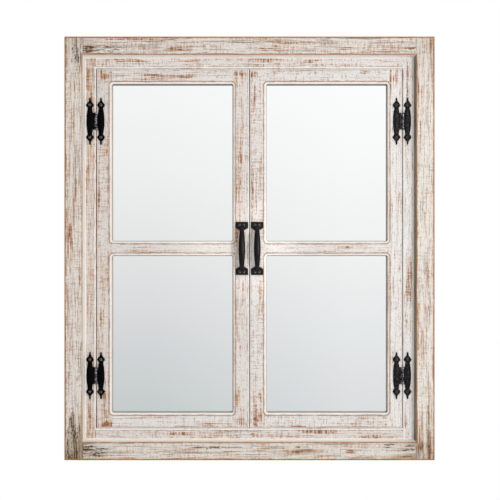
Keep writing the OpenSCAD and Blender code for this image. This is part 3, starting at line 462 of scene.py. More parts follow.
# One finish per board, since each was cut from its own plank; the washes also carry painted light, darker at the left
# and lighter at the right. A mark is a worn or dirty place, or a painted shadow beside a pull:
# its middle and half sizes in mm, and how much more the wash is worn and soiled there.
boards = {
    "outer_left_stile": dict(
        seed=1, wash="#EFE8E0", rub=0.5, thin=0.5, saw=0.3, lines=0.6, dashes=0.5,
        soiled=0.9, edges=frameEdges(0.95, 0.6), inward=(1, 0, 0), revealShading=1.0,
        marks=((-290, 46, 10, 27, 0, 0.065), (-295, -600, 14, 60, 0, 0.07))),
    # its reveal is darkened: painted shade, as it faces away from the light
    "outer_right_stile": dict(
        seed=2, wash="#F1EBE2", rub=0.55, thin=0.45, saw=0.3, lines=0.6, dashes=0.35,
        soiled=0.9, edges=frameEdges(0.8, 0.8), inward=(-1, 0, 0), shadedReveal=True,
        marks=((290, -606, 14, 12, 0.05, 0.015), (285, -585, 5, 22, 0.06, 0.02))),
    "outer_top_rail": dict(
        seed=3, wash="#ECE4DC", rub=0.45, thin=0.5, saw=0.7, lines=0.75, dashes=0.7,
        soiled=0.7, edges=frameEdges(0.95, 0.95), inward=(0, 0, -1), revealShading=0.6, ribs=0.34,
        marks=((-268, 59, 9, 8, 0.09, 0.025), (-237, 60, 48, 9, 0, 0.055),
               (-114, 60, 20, 3.5, 0.09, 0.04), (-202, 76, 43, 3, 0.06, 0),
               (34, 58, 28, 4, 0.06, 0.05), (186, 59, 40, 5, 0.05, 0.04),
               (267, 61, 10, 5, 0, 0.05))),
    "outer_bottom_rail": dict(
        seed=4, wash="#ECE5DC", rub=0.4, thin=0.5, saw=0.3, lines=0.7, dashes=0.6,
        soiled=0.85, edges=frameEdges(0.95, 0.95), inward=(0, 0, 1), revealShading=0.65,
        marks=((-255, -606, 25, 12, 0, 0.07), (-69, -604, 60, 2.5, 0.03, 0.08),
               (81, -601, 6, 4, 0.05, 0.12), (232, -601, 17, 5, 0.05, 0.11),
               (262, -604, 16, 6, 0.04, 0.055), (167, -611, 10, 4, 0.1, 0.02))),
    # washed darker: painted shade, the left side being the less lit
    "inner_left_stile": dict(
        seed=5, wash="#DFD7D0", rub=0.65, thin=0.6, saw=0.5, lines=0.5, dashes=0.2,
        marks=((-272, 10, 4, 20, 0.08, 0),)),
    # washed lighter and thinned less: painted light against the shadow that the outer frame casts on it
    "inner_right_stile": dict(
        seed=6, wash="#FCF9F6", rub=0.5, thin=0.15, saw=0.5, lines=0.4, dashes=0.2,
        marks=((261, -564, 3, 14, 0.08, 0),)),
    "inner_top_rail": dict(
        seed=7, rub=0.5, thin=0.42, saw=0.8, lines=0.4, dashes=0.15, ribs=0.34,
        edges=innerRailEdges,
        marks=((-212, 45, 42, 3, 0.09, 0), (-124, 42, 50, 5, 0.04, 0), (21, 45, 24, 4, 0.07, 0),
               (105, 43, 13, 4, 0.07, 0), (214, 44, 20, 5, 0.06, 0))),
    "inner_bottom_rail": dict(
        seed=8, wash="#EAE3DD", rub=0.5, thin=0.45, saw=0.85, lines=0.4, dashes=0.2,
        ribs=0.36, edges=innerRailEdges,
        marks=((-118, -585, 22, 3, 0.09, 0), (-196, -592, 24, 3, 0.05, 0),
               (114, -581, 30, 5, 0.09, 0), (203, -590, 31, 4, 0.1, 0), (7, -586, 8, 4, 0.09, 0))),
}
doorBoards = {
    # the left door's boards are washed darker and the right hinge stile lighter: painted light falling from the right
    "left_door_hinge_stile": dict(
        wash="#E8E1DB", rub=0.65, thin=0.45, ribs=0.34,
        marks=((-246, 18, 10, 6, 0.07, 0), (-253, -188, 3, 24, 0.08, 0),
               (-236, -570, 16, 5, 0.07, 0))),
    "left_door_meeting_stile": dict(
        wash="#EDE6E1", rub=0.6, thin=0.45,
        marks=((-16, 22, 11, 5, 0.05, 0.05), (-13, -564, 8, 7, 0.08, 0),
               # the last mark is painted shadow down the left of the pull's grip
               (-21, -262, 4, 20, 0.03, 0.09))),
    "left_door_top_rail": dict(
        rub=0.4, thin=0.29, ribs=0.34,
        marks=((-168, 20, 17, 2, 0.06, 0), (-104, 17, 20, 3, 0.07, 0))),
    "left_door_bottom_rail": dict(
        rub=0.4, thin=0.4, marks=((-114, -573, 18, 3, 0.08, 0),)),
    "left_door_muntin": dict(wash="#EAE5E0", rub=0.35, thin=0.3),
    "right_door_hinge_stile": dict(
        wash="#F7F3EF", rub=0.45, thin=0.3, marks=((245, 10, 5, 13, 0.05, 0),)),
    "right_door_meeting_stile": dict(
        rub=0.55, thin=0.45, ribs=0.32,
        marks=((7, 20, 8, 6, 0.06, 0.06), (7, -564, 8, 6, 0.06, 0.05),
               # the last mark is painted shadow down the left of the pull's grip
               (3, -262, 3, 22, 0.03, 0.09))),
    "right_door_top_rail": dict(
        rub=0.4, thin=0.3, ribs=0.45,
        marks=((95, 11, 34, 3, 0.05, 0), (113, 22, 6, 5, 0.05, 0), (193, 24, 9, 3, 0.07, 0))),
    "right_door_bottom_rail": dict(
        rub=0.4, thin=0.4, ribs=0.4,
        marks=((78, -573, 16, 3, 0.1, 0), (140, -574, 38, 2, 0.07, 0))),
    "right_door_muntin": dict(rub=0.3, thin=0.25),
}
firstDoorSeed = 10
for seed, (board, look) in enumerate(doorBoards.items(), firstDoorSeed):
    boards[board] = dict(seed=seed, saw=0.6, dashes=0.1, lines=0.35, pane=True,
                         edges=doorRailEdges if "rail" in board else leafEdges, **look)
for board, look in boards.items():
    look.setdefault("edges", innerEdges)
    grain = "z" if "stile" in board else "x"
    finishNodes(whitewashedPine("whitewashedPine_" + board, grain, **look), board)
print("boards finished:", len(boards))

# Silvered float glass: a clear, slightly cool reflection with a faint haze of dust
silvered, tree, shader = newMaterial("silveredFloatGlass", Metallic=1.0,
                                     Base_Color=toLinear("#FBFCFC"))
place = addNode(tree, "TexCoord").outputs["Object"]
haze = addNode(tree, "TexNoise", {"Vector": place, "Scale": 22, "Detail": 4}).outputs[0]
dusty = addNode(tree, "MapRange", {
    0: haze, 1: 0.35, 2: 0.75, 3: 0.012, 4: 0.03}, **smooth).outputs[0]
tree.links.new(dusty, shader.inputs["Roughness"])
for side in ("left", "right"):
    finishNodes(silvered, side + "_upper_mirror", side + "_lower_mirror")


# A finish drawn by its marks: layers of tone over the base, the roughness, and the relief with
# its strength and depth in mm. Marks are given as for drawnNoise; a layer and the roughness
# name the two ends of the pattern between which they change, and their amount at each.
def drawnFinish(name, base, layers=(), roughness=None, relief=None, **values):
    material, tree, shader = newMaterial(name, Base_Color=toLinear(base), **values)
    place = addNode(tree, "TexCoord").outputs["Object"]
    colour = toLinear(base)
    for marks, low, high, least, most, tone in layers:
        pattern = drawnNoise(tree, place, *marks)
        amount = addNode(tree, "MapRange", {
            0: pattern, 1: low, 2: high, 3: least, 4: most}, **smooth).outputs[0]
        colour = addNode(tree, "Mix", {
            0: amount, 6: colour, 7: toLinear(tone)}, **mixed).outputs[2]
    if layers:
        tree.links.new(colour, shader.inputs["Base Color"])
    if roughness:
        marks, low, high, least, most = roughness
        pattern = drawnNoise(tree, place, *marks)
        rough = addNode(tree, "MapRange", {
            0: pattern, 1: low, 2: high, 3: least, 4: most}, **smooth).outputs[0]
        tree.links.new(rough, shader.inputs["Roughness"])
    if relief:
        marks, strength, depthMm = relief
        pattern = drawnNoise(tree, place, *marks)
        bump = addNode(tree, "Bump", {
            "Height": pattern, "Strength": strength, "Distance": depthMm * mm}).outputs[0]
        tree.links.new(bump, shader.inputs["Normal"])
    return material


# Hammered iron in satin black paint: deep black, broken by small soft glints. The right-hand hinges
# have grey painted glints on their high spots and more gloss, the left-hand ones are blacker and duller: lit and
# shaded copies of one paint, with light from the right.
hammerMarks, grit = (2.4, 2.4, 2, 0.6), (0.7, 0.7, 3)
hammeredIron = {side: drawnFinish(
    "hammeredBlackIron_" + side, base="#050506", Specular_IOR_Level=shine,
    layers=[(hammerMarks, 0.52, 0.62, 0, 1, paintedGlints)],
    roughness=(grit, 0.3, 0.7, 0.3, 0.55), relief=(grit, 0.4, 0.2))
    for side, shine, paintedGlints in (("left", 0.03, "#0A0A0B"), ("right", 0.17, "#38373B"))}

# Cast iron in satin black paint: smoother than the hinges, with a long soft highlight
sandMarks = (1.1, 1.1, 3)
castIron = drawnFinish(
    "castBlackIron", base="#060607", Specular_IOR_Level=0.2,
    roughness=(sandMarks, 0.3, 0.7, 0.3, 0.46), relief=(sandMarks, 0.25, 0.2))

# Knuckles rubbed by use: bare grey steel shows through the black in patches
rubbedKnuckle = drawnFinish("rubbedKnuckleSteel", base="#242325", Roughness=0.4, Metallic=1.0,
                            layers=[((1.6, 1.6, 3), 0.46, 0.6, 0, 1, "#B9B6BE")])
finishNodes(rubbedKnuckle, "hinge_pins")

# Forged nail heads: dark iron with brighter worn facets and a little brown rust
rubbedNail = drawnFinish("rubbedForgedIron", base="#26211D", Roughness=0.35, Metallic=1.0,
                         layers=[((1.3, 1.3, 3), 0.4, 0.6, 0, 1, "#7C746C")])

# Screws of the pulls: browned steel, dark on the crown and bright round the rim, where rubbed wear and a painted
# highlight lie together
brownedSteel, tree, shader = newMaterial("brownedSteelScrews", Roughness=0.4, Metallic=1.0)
coordinates = addNode(tree, "TexCoord")
patches = drawnNoise(tree, coordinates.outputs["Object"], 1, 1, 2)
crown = addNode(tree, "SeparateXYZ", {0: coordinates.outputs["Normal"]}).outputs[1]
rim = addNode(tree, "MapRange", {0: crown, 1: -0.95, 2: -0.7}, **smooth).outputs[0]
worn = addUp(tree, (patches, 0.5), (rim, 0.5))
rimWearAndHighlight = addNode(tree, "MapRange", {0: worn, 1: 0.35, 2: 0.6}, **smooth).outputs[0]
steel = addNode(tree, "Mix", {
    0: rimWearAndHighlight, 6: toLinear("#241F1C"), 7: toLinear("#A8A199")}, **mixed).outputs[2]
tree.links.new(steel, shader.inputs["Base Color"])
finishNodes(brownedSteel, "left_pull_screws", "right_pull_screws")

# Tempered hardboard: smooth dark brown with pale and black fibres about
# 1.5 mm long, drawn at 3 mm so that they show
fibres = (3.2, 1.8, 4, 0.7)
hardboard = drawnFinish(
    "temperedHardboard", base="#6F4B30", Roughness=0.55, Specular_IOR_Level=0.4,
    layers=[((24, 15, 4), 0.3, 0.7, 0, 1, "#7A5338"), (fibres, 0.55, 0.66, 0, 0.6, "#A98560"),
            (fibres, 0.34, 0.44, 0.6, 0, "#3E2919")], relief=(fibres, 0.3, 0.2))
finishNodes(hardboard, "back_panel", "left_mirror_backings", "right_mirror_backings")

# Turned beech dowels: pale pinkish wood with short dark flecks
flecks = (5, 0.8, 3)
beech = drawnFinish("turnedBeech", base="#D5B28C", Roughness=0.6, Specular_IOR_Level=0.4,
                    layers=[(flecks, 0.5, 0.64, 0, 0.7, "#A2754C")], relief=(flecks, 0.3, 0.2))
finishNodes(beech, "frame_dowels", "left_door_dowels", "right_door_dowels")

# Zinc-plated steel: dull silver, clouded by handling, with a faint yellow passivation
clouds = (5, 4, 4, 0.6)
zincSteel = drawnFinish("zincPlatedSteel", base="#B4B3AB", Metallic=1.0,
                        layers=[(clouds, 0.36, 0.64, 0, 1, "#D4D3C6")],
                        roughness=(clouds, 0.35, 0.65, 0.28, 0.48))
finishNodes(zincSteel, "lap_screws", "panel_brads", "hanger_plate_left", "hanger_plate_right",
            "hanger_screws", "left_retainer_tabs", "right_retainer_tabs", "left_tab_screws",
            "right_tab_screws", "left_catch_strike", "right_catch_strike")

# Nickel-plated magnets: bright and smooth, with fine handling scratches
nickel = drawnFinish("nickelPlatedMagnet", base="#D9D5CC", Metallic=1.0,
                     roughness=((4, 0.25, 3), 0.4, 0.65, 0.12, 0.3))
finishNodes(nickel, "catch_magnets")
print("other finishes made")


def deselectAll():
    if bpy.context.mode != "OBJECT":
        bpy.ops.object.mode_set(mode="OBJECT")
    bpy.ops.object.select_all(action="DESELECT")


def pick(piece):
    deselectAll()
    piece.select_set(True)
    bpy.context.view_layer.objects.active = piece


# Selects the vertices of the active mesh that pass the test, and goes on in edit mode
def selectWhere(test):
    bpy.ops.object.mode_set(mode="EDIT")
    bpy.ops.mesh.select_mode(type="VERT")
    bpy.ops.mesh.select_all(action="DESELECT")
    bpy.ops.object.mode_set(mode="OBJECT")
    for vertex in bpy.context.object.data.vertices:
        vertex.select = test(vertex.co)
    bpy.ops.object.mode_set(mode="EDIT")


def modified(piece, kind, **settings):
    pick(piece)
    modifier = piece.modifiers.new(kind.title(), kind)
    for name, value in settings.items():
        setattr(modifier, name, value)
    bpy.ops.object.modifier_apply(modifier=modifier.name)


def placeApplied(piece):
    pick(piece)
    bpy.ops.object.transform_apply(location=True, rotation=True, scale=True)


def facesOut(piece):
    pick(piece)
    bpy.ops.object.mode_set(mode="EDIT")
    bpy.ops.mesh.select_all(action="SELECT")
    bpy.ops.mesh.remove_doubles(threshold=1e-6)
    bpy.ops.mesh.normals_make_consistent(inside=False)
    bpy.ops.object.mode_set(mode="OBJECT")


def copied(piece, name, shift):
    pick(piece)
    bpy.ops.object.duplicate(linked=False)
    twin = bpy.context.object
    twin.name = name
    twin.location = Vector(shift) * mm
    placeApplied(twin)
    return twin


def joined(name, *pieces):
    pick(pieces[0])
    for piece in pieces[1:]:
        piece.select_set(True)
    bpy.ops.object.join()
    whole = bpy.context.object
    whole.name = name
    whole.data.name = name
    return whole


def replaceNode(piece, node, body, slot):
    placeApplied(piece)
    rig.ride(piece, body)
    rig.replaces(piece, node)
    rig.slot(piece, slot)


# Unevenness of a surface: bumps or marks of this width and height in mm
def roughened(piece, name, kind, wideMm, highMm, middle=0.5, **settings):
    texture = bpy.data.textures.new(name, kind)
    texture.noise_scale = wideMm * mm
    for key, value in settings.items():
        setattr(texture, key, value)
    modified(piece, "DISPLACE", texture=texture, strength=highMm * mm, mid_level=middle,
             texture_coords="LOCAL")


# Pull: two screwed feet and a bowed, spindle-shaped grip, cast in one piece
pull = {
    "length": 89.5, "centreX": 12.8, "footWidth": 21.3, "footLength": 9.5, "footThick": 3.2,
    "footBevel": 0.9, "bevelAngle": 50,
    # a foot narrows in steps towards the grip: distance from the foot and width there
    "shoulders": ((1.2, 20.2), (2.2, 16.4), (3.2, 12.2), (4.5, 9.4)), "overlap": 3.2,
    "reach": 21, "endWidth": 6.3, "middleWidth": 11.5, "endThick": 6.2, "middleThick": 7.6,
    # powers of a cosine: how late the grip swells and how early it bows
    "swell": 2.0, "bow": 0.62,
    "corners": 22, "rings": 26, "voxel": 0.45, "blending": 4, "skinWide": 3.2, "skinHigh": 0.16,
}


def castPull():
    shoulderZ = pull["length"] / 2 - pull["footLength"] - pull["shoulders"][-1][0]
    span = 2 * (shoulderZ + pull["overlap"])
    root = pull["footThick"] / 4

    # along the grip t runs from -1 to 1
    def centre(t):
        depth = root + (pull["reach"] - root) * max(math.cos(math.pi / 2 * t), 0) ** pull["bow"]
        return Vector((0, -depth, span / 2 * math.sin(math.pi / 2 * t)))

    def lean(t):
        near = 0.02
        way = centre(min(t + near, 1)) - centre(max(t - near, -1))
        return math.atan2(-way.y, way.z)

    def size(t):
        swell = math.cos(math.pi / 2 * t) ** pull["swell"]
        return [pull[a] + (pull[b] - pull[a]) * swell for a, b in (
            ("endWidth", "middleWidth"), ("endThick", "middleThick"))]

    spot, tilt = centre(-1), lean(-1)
    width, thick = size(-1)
    bpy.ops.mesh.primitive_circle_add(vertices=pull["corners"], radius=0.5 * mm,
                                      fill_type="NGON", location=spot * mm)
    grip = bpy.context.object
    placeApplied(grip)
    bpy.ops.object.mode_set(mode="EDIT")
    bpy.ops.mesh.select_all(action="SELECT")
    bpy.ops.transform.resize(value=(width, thick, 1), center_override=spot * mm)
    bpy.ops.transform.rotate(value=-tilt, orient_axis="X", center_override=spot * mm)
    for ring in range(1, pull["rings"] + 1):
        t = 2 * ring / pull["rings"] - 1
        newSpot, newTilt = centre(t), lean(t)
        newWidth, newThick = size(t)
        bpy.ops.mesh.extrude_region_move(
            TRANSFORM_OT_translate={"value": (newSpot - spot) * mm})
        bpy.ops.transform.resize(
            value=(newWidth / width, newThick / thick, newThick / thick),
            center_override=newSpot * mm)
        bpy.ops.transform.rotate(value=-(newTilt - tilt), orient_axis="X",
                                 center_override=newSpot * mm)
        spot, width, thick, tilt = newSpot, newWidth, newThick, newTilt
    bpy.ops.object.mode_set(mode="OBJECT")

    feet = []
    for end in (1, -1):
        footZ = end * (pull["length"] - pull["footLength"]) / 2
        bpy.ops.mesh.primitive_cube_add(
            size=mm, location=(0, -pull["footThick"] / 2 * mm, footZ * mm),
            scale=(pull["footWidth"], pull["footThick"], pull["footLength"]))
        foot = bpy.context.object
        placeApplied(foot)
        innerZ = end * (pull["length"] / 2 - pull["footLength"])
        selectWhere(lambda co: abs(co.z - innerZ * mm) < 0.01 * mm)
        width, drop = pull["footWidth"], 0
        for newDrop, newWidth in pull["shoulders"]:
            bpy.ops.mesh.extrude_region_move(
                TRANSFORM_OT_translate={"value": (0, 0, -end * (newDrop - drop) * mm)})
            bpy.ops.transform.resize(value=(newWidth / width, 1, 1),
                                     center_override=(0, 0, 0))
            width, drop = newWidth, newDrop
        bpy.ops.object.mode_set(mode="OBJECT")
        modified(foot, "BEVEL", width=pull["footBevel"] * mm, segments=3,
                 limit_method="ANGLE", angle_limit=math.radians(pull["bevelAngle"]))
        feet.append(foot)
    whole = joined("castPull", grip, *feet)
    facesOut(whole)
    modified(whole, "REMESH", mode="VOXEL", voxel_size=pull["voxel"] * mm)
    modified(whole, "SMOOTH", factor=0.5, iterations=pull["blending"])
    # sand-cast skin: soft unevenness of a few hundredths of a millimetre
    roughened(whole, "castSkin", "CLOUDS", pull["skinWide"], pull["skinHigh"])
    bpy.ops.object.shade_smooth()
    return whole


pullShape = castPull()
for side, turn in (("left", -1), ("right", 1)):
    piece = copied(pullShape, side + "_cast_pull",
                   (turn * pull["centreX"], faceDepth, midHeight))
    piece.data.materials.clear()
    piece.data.materials.append(castIron)
    replaceNode(piece, side + "_pull", side + "_door", "black_iron")
bpy.data.objects.remove(pullShape)
print("pulls modelled")

# H hinge: hammered bars with waists, spade pads and spear tips, and five knuckles on a pin
hinge = {
    "pinX": 257.9, "offset": 214, "leftBarX": 10.6, "rightBarX": 8,
    # half width of a bar at each height from its middle
    "outline": ((0, 6.0), (6, 5.85), (11, 5.45), (15, 4.9), (18.5, 4.3), (21, 3.75),
                (22.4, 3.65), (23.6, 4.5), (25.0, 5.9), (26.6, 6.6), (28.2, 6.35), (29.8, 5.2),
                (31.4, 3.9), (32.8, 2.6), (34.2, 1.75), (36, 1.45), (37.8, 1.5), (39.2, 1.25)),
    "edge": 1.4, "crown": 1.6, "columns": 8, "bevel": 0.3, "bevelAngle": 45,
    "markWide": 2.4, "markHigh": 0.5, "markMiddle": 0.35,
    # the web reaches from the bar towards the pin, and a strap joins it to each knuckle
    "web": 1.4, "webStart": 2.9, "webBevel": 0.25, "strapStart": 0.8, "strapEnd": 3.4,
    "strapBevel": 0.2, "stack": 28.8, "play": 0.4, "knuckle": 4.4, "knuckleCorners": 28,
    "knuckleAngle": 60, "smoothAngle": 40, "frameKnuckles": (0, 2, 4), "doorKnuckles": (1, 3),
}


def hammeredBar():
    half = hinge["outline"]
    stations = [(-z, w) for z, w in reversed(half)] + list(half[1:])
    columns = hinge["columns"]
    bpy.ops.mesh.primitive_grid_add(
        x_subdivisions=columns, y_subdivisions=1, size=mm, rotation=(math.pi / 2, 0, 0))
    bar = bpy.context.object
    placeApplied(bar)
    selectWhere(lambda co: True)
    (z, w), (nextZ, nextW) = stations[:2]
    bpy.ops.transform.resize(value=(2 * w, 1, nextZ - z), center_override=(0, 0, 0))
    bpy.ops.transform.translate(value=(0, 0, (nextZ + z) / 2 * mm))
    selectWhere(lambda co: abs(co.z - nextZ * mm) < 0.001 * mm)
    bpy.ops.transform.resize(value=(nextW / w, 1, 1), center_override=(0, 0, 0))
    z, w = nextZ, nextW
    for nextZ, nextW in stations[2:]:
        bpy.ops.mesh.extrude_region_move(
            TRANSFORM_OT_translate={"value": (0, 0, (nextZ - z) * mm)})
        bpy.ops.transform.resize(value=(nextW / w, 1, 1), center_override=(0, 0, 0))
        z, w = nextZ, nextW
    bpy.ops.mesh.select_all(action="SELECT")
    bpy.ops.mesh.extrude_region_move(
        TRANSFORM_OT_translate={"value": (0, -hinge["edge"] * mm, 0)})
    bpy.ops.object.mode_set(mode="OBJECT")
    # the front is lifted column by column to a crown
    front = -hinge["edge"] * mm
    widths = {round(z, 3): w for z, w in stations}
    for column in range(1, columns):
        across = 2 * column / columns - 1
        lift = hinge["crown"] * (1 - across ** 2)
        selectWhere(lambda co: co.y < front + 1e-7 and abs(
            co.x / mm - across * widths[round(co.z / mm, 3)]) < 0.05)
        bpy.ops.transform.translate(value=(0, -lift * mm, 0))
        bpy.ops.object.mode_set(mode="OBJECT")
    facesOut(bar)
    modified(bar, "BEVEL", width=hinge["bevel"] * mm, segments=2, limit_method="ANGLE",
             angle_limit=math.radians(hinge["bevelAngle"]))
    modified(bar, "SUBSURF", levels=2, render_levels=2)
    # hammer marks about two tenths of a millimetre deep
    roughened(bar, "hammerMarks", "VORONOI", hinge["markWide"], hinge["markHigh"],
              hinge["markMiddle"], distance_metric="DISTANCE_SQUARED")
    return bar


def block(x0, x1, z0, z1, y0, y1, bevel):
    bpy.ops.mesh.primitive_cube_add(
        size=mm, location=((x0 + x1) / 2 * mm, (y0 + y1) / 2 * mm, (z0 + z1) / 2 * mm),
        scale=(x1 - x0, y1 - y0, z1 - z0))
    made = bpy.context.object
    placeApplied(made)
    modified(made, "BEVEL", width=bevel * mm, segments=2)
    return made


# One leaf beside the pin line, which stands on x = 0; turn is the side of its bar
def hingeLeaf(bar, turn, barX, knuckles, paint):
    pitch = hinge["stack"] / len(hinge["frameKnuckles"] + hinge["doorKnuckles"])
    webHalf = (hinge["stack"] - hinge["play"]) / 2
    strapHalf = (pitch - hinge["play"]) / 2
    webEnds = sorted((turn * hinge["webStart"], turn * barX))
    strapEnds = sorted((turn * hinge["strapStart"], turn * hinge["strapEnd"]))
    middles = [(knuckle + 0.5) * pitch - hinge["stack"] / 2 for knuckle in knuckles]
    painted = [copied(bar, "leaf", (turn * barX, 0, 0)),
               block(*webEnds, -webHalf, webHalf, -hinge["web"], 0, hinge["webBevel"])]
    for middle in middles:
        painted.append(block(*strapEnds, middle - strapHalf, middle + strapHalf,
                             -hinge["web"], 0, hinge["strapBevel"]))
    for part in painted:
        part.data.materials.append(paint)
    barrels = []
    for middle in middles:
        bpy.ops.mesh.primitive_cylinder_add(
            vertices=hinge["knuckleCorners"], radius=hinge["knuckle"] / 2 * mm,
            depth=2 * strapHalf * mm, location=(0, -hinge["knuckle"] / 2 * mm, middle * mm))
        barrel = bpy.context.object
        placeApplied(barrel)
        modified(barrel, "BEVEL", width=hinge["bevel"] * mm, segments=3, limit_method="ANGLE",
                 angle_limit=math.radians(hinge["knuckleAngle"]))
        barrel.data.materials.append(rubbedKnuckle)
        barrels.append(barrel)
    leaf = joined("leaf", *painted, *barrels)
    pick(leaf)
    bpy.ops.object.shade_smooth_by_angle(angle=math.radians(hinge["smoothAngle"]))
    return leaf


barShape = hammeredBar()
for side, turn in (("left", -1), ("right", 1)):
    # left-hand bars stand further from the pin than right-hand ones
    for owner, body, away in (("frame", "frame", turn), ("door", side + "_door", -turn)):
        leaf = hingeLeaf(barShape, away, hinge["leftBarX" if away < 0 else "rightBarX"],
                         hinge[owner + "Knuckles"], hammeredIron[side])
        for level, end in (("upper", 1), ("lower", -1)):
            node = "_".join((level, side, "hinge", owner, "leaf"))
            piece = copied(leaf, "hammered_" + node, (
                turn * hinge["pinX"], faceDepth, midHeight + end * hinge["offset"]))
            replaceNode(piece, node, body, "black_iron")
        bpy.data.objects.remove(leaf)
bpy.data.objects.remove(barShape)
print("hinge leaves modelled")

# Pyramid-headed nail: a rough square head drawn to a blunt point, on a round shank
nail = {
    "head": 5, "rise": 1.8, "blunt": 0.5, "bevel": 0.22, "shank": 1.8, "length": 11,
    "shankCorners": 16, "tip": 0.3, "padZ": 27.2, "seat": -24.6, "skinWide": 1.4,
    "skinHigh": 0.12, "smoothAngle": 30,
}


def pyramidNail():
    bpy.ops.mesh.primitive_cone_add(
        vertices=4, radius1=nail["head"] / math.sqrt(2) * mm,
        radius2=nail["blunt"] / math.sqrt(2) * mm, depth=nail["rise"] * mm,
        location=(0, -nail["rise"] / 2 * mm, 0), rotation=(math.pi / 2, 0, 0))
    head = bpy.context.object
    placeApplied(head)
    selectWhere(lambda co: True)
    bpy.ops.transform.rotate(value=math.pi / 4, orient_axis="Y", center_override=(0, 0, 0))
    bpy.ops.object.mode_set(mode="OBJECT")
    modified(head, "BEVEL", width=nail["bevel"] * mm, segments=2)
    modified(head, "SUBSURF", levels=1, render_levels=1, subdivision_type="SIMPLE")
    bpy.ops.mesh.primitive_cylinder_add(
        vertices=nail["shankCorners"], radius=nail["shank"] / 2 * mm,
        depth=nail["length"] * mm, location=(0, nail["length"] / 2 * mm, 0),
        rotation=(math.pi / 2, 0, 0))
    shank = bpy.context.object
    placeApplied(shank)
    selectWhere(lambda co: co.y > (nail["length"] - 0.01) * mm)
    bpy.ops.transform.resize(value=(nail["tip"], 1, nail["tip"]), center_override=(0, 0, 0))
    bpy.ops.object.mode_set(mode="OBJECT")
    whole = joined("nail", head, shank)
    roughened(whole, "forgedSkin", "CLOUDS", nail["skinWide"], nail["skinHigh"])
    bpy.ops.object.shade_smooth_by_angle(angle=math.radians(nail["smoothAngle"]))
    return whole


nailShape = pyramidNail()
nailShape.data.materials.append(rubbedNail)
for body, places in (("frame", ((-1, -1, "leftBarX"), (1, 1, "rightBarX"))),
                     ("left_door", ((-1, 1, "rightBarX"),)),
                     ("right_door", ((1, -1, "leftBarX"),))):
    node = body + "_hinge_nails"
    nails = []
    for turn, away, barX in places:
        for end in (1, -1):
            for pad in (1, -1):
                nails.append(copied(nailShape, "nail", (
                    turn * hinge["pinX"] + away * hinge[barX], nail["seat"],
                    midHeight + end * hinge["offset"] + pad * nail["padZ"])))
    replaceNode(joined("forged_" + node, *nails), node, body, "worn_iron")
bpy.data.objects.remove(nailShape)
print("hinge nails modelled")

# The photograph is taken from straight ahead, 1.25 m off
cameraSetup = {"place": (0.0008, -1.288, -0.2752), "lens": 54.14, "sensor": 36}
bpy.ops.object.camera_add(location=cameraSetup["place"], rotation=(math.pi / 2, 0, 0))
camera = bpy.context.object
camera.name = "frontCamera"
camera.data.lens = cameraSetup["lens"]
camera.data.sensor_width = cameraSetup["sensor"]
bpy.context.scene.camera = camera

# Pale studio floor, well below a mirror that hangs on a wall; it keeps the soft shadow
floorSetup = {"size": 4, "place": (0, -0.2, -1.45), "glow": 0.35}
deselectAll()
bpy.ops.mesh.primitive_plane_add(size=floorSetup["size"], location=floorSetup["place"])
floor = bpy.context.object
floor.name = "studioFloor"
floor.visible_diffuse = False  # the world already holds the light that it would send up
floor.visible_glossy = False  # and the tone that the mirrors would show
paleFloor, tree, shader = newMaterial("paleFloor", Roughness=0.8, Base_Color=toLinear("#F2F2F1"),
                                      Emission_Color=(1, 1, 1, 1))
seenDirectly = addNode(tree, "LightPath").outputs["Is Camera Ray"]
tree.links.new(addUp(tree, (seenDirectly, floorSetup["glow"])),
               shader.inputs["Emission Strength"])
floor.data.materials.append(paleFloor)
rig.stage(floor)

# The key is a softbox at the right, outside what the mirrors show, and tall for soft shadows;
# a small snooted lamp picks out the pulls, whose shadows fall to the left
softbox = {"place": (0.53, -1.0, -0.1), "aim": (0, 0, midHeight * mm), "size": (0.2, 0.7),
           "watts": 2.8}
snoot = {"place": (0.43, -0.78, -0.262), "aim": (-0.01, -0.03, -0.2725), "cone": 14,
         "radius": 0.012, "watts": 7}
for name, kind, lamp in (("keySoftbox", "AREA", softbox), ("pullSpot", "SPOT", snoot)):
    bpy.ops.object.light_add(type=kind, location=lamp["place"])
    light = bpy.context.object
    light.name = name
    light.data.energy = lamp["watts"]
    way = Vector(lamp["aim"]) - light.location
    light.rotation_euler = way.to_track_quat("-Z", "Y").to_euler()
    if kind == "AREA":
        light.data.shape = "RECTANGLE"
        light.data.size, light.data.size_y = lamp["size"]
    else:
        light.data.spot_size = math.radians(lamp["cone"])
        light.data.spot_blend = 1
        light.data.shadow_soft_size = lamp["radius"]

# White round the object, a pale studio in the mirrors and soft light that is dim at the left.
# Each fade runs along an axis of the direction, from and to, and has a strength at both ends.
studio = {
    # tones that the mirrors show at the left and the right, from the floor up
    "leftTones": ((0.15, "#C8CECE"), (0.317, "#D8D9DB"), (0.483, "#E6E7E7"),
                  (0.683, "#F1F3F2"), (0.85, "#F8F8F8")),
    "rightTones": ((0.15, "#DFE0E2"), (0.317, "#E9EBEB"), (0.483, "#F2F4F3"),
                   (0.683, "#FBFBFB"), (0.85, "#FFFFFF")),
    "mirrorWidth": 0.13, "mirrorHeight": 0.3, "mirrorEdge": (0.18, 0.4), "rightLight": 0.12,
    "fades": {
        "side": (0, -0.75, 0.5, 0.04, 0.16), "steepShare": (0, -1, 0.2, 0.85, 1.7),
        "ahead": (1, -1, -0.8, 1.42, 0), "behind": (1, 0.2, 0.8, 0, 0.62),
        # greys that shiny metal shows at its sides and from below
        "sideTone": (0, -0.4, 0.4, 0.4, 0.95), "lowTone": (2, -0.6, -0.2, 0.35, 0)},
}
world = bpy.data.worlds.new("paleStudio")
bpy.context.scene.world = world
world.use_nodes = True
tree = world.node_tree
background = tree.nodes["Background"]
rays = addNode(tree, "LightPath").outputs
direction = addNode(tree, "TexCoord").outputs["Generated"]
parts = addNode(tree, "SeparateXYZ", {0: direction}).outputs
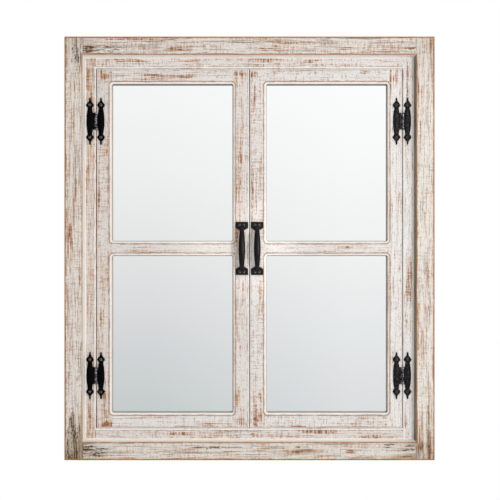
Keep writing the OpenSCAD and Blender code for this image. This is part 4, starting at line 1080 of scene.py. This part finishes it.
fades = {name: addNode(tree, "MapRange", {
    0: parts[axis], 1: start, 2: stop, 3: first, 4: last}, **smooth).outputs[0]
    for name, (axis, start, stop, first, last) in studio["fades"].items()}

# what the mirrors show is paler towards the top and the right
upward = addNode(tree, "MapRange", {
    0: parts[2], 1: -studio["mirrorHeight"], 2: studio["mirrorHeight"]}).outputs[0]
rightward = addNode(tree, "MapRange", {
    0: parts[0], 1: -studio["mirrorWidth"], 2: studio["mirrorWidth"]}).outputs[0]
leftTone = addNode(tree, "ValToRGB", {0: upward}, stops=studio["leftTones"]).outputs[0]
rightTone = addNode(tree, "ValToRGB", {0: upward}, stops=studio["rightTones"]).outputs[0]
mirrored = addNode(tree, "Mix", {0: rightward, 6: leftTone, 7: rightTone}, **mixed).outputs[2]
aside = addNode(tree, "Math", {0: parts[0]}, operation="ABSOLUTE").outputs[0]
outside = addNode(tree, "MapRange", {
    0: aside, 1: studio["mirrorEdge"][0], 2: studio["mirrorEdge"][1]}, **smooth).outputs[0]
sideTone = addUp(tree, (fades["sideTone"], 1), (fades["lowTone"], 1))
glossy = addNode(tree, "Mix", {0: outside, 6: mirrored, 7: sideTone}, **mixed).outputs[2]

# soft light from ahead, the right, above and below, and a share from behind for the back alone
steep = addUp(tree, (parts[2], parts[2]))
rightHalf = addNode(tree, "Math", {0: parts[0], 1: 0.0}, operation="MAXIMUM").outputs[0]
rightLight = addUp(tree, (rightHalf, studio["rightLight"]))
softLight = addUp(tree, (fades["side"], 1), (fades["ahead"], 1), (fades["behind"], 1),
                  (steep, fades["steepShare"]), (rightHalf, rightLight))
lit = addNode(tree, "Mix", {0: rays["Is Glossy Ray"], 6: softLight, 7: glossy}, **mixed).outputs[2]
seen = addNode(tree, "Mix", {
    0: rays["Is Camera Ray"], 6: lit, 7: (1, 1, 1, 1)}, **mixed).outputs[2]
tree.links.new(seen, background.inputs["Color"])
background.inputs["Strength"].default_value = 1

bpy.context.scene.view_settings.view_transform = "Standard"

lowest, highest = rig.bounds()
with open("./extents.json") as sizeFile:
    sizes = json.load(sizeFile)
sizes["dressedLowest"], sizes["dressedHighest"] = list(lowest), list(highest)
with open("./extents.json", "w") as sizeFile:
    json.dump(sizes, sizeFile)
print("dressed size:", [round(h - l, 4) for l, h in zip(lowest, highest)])
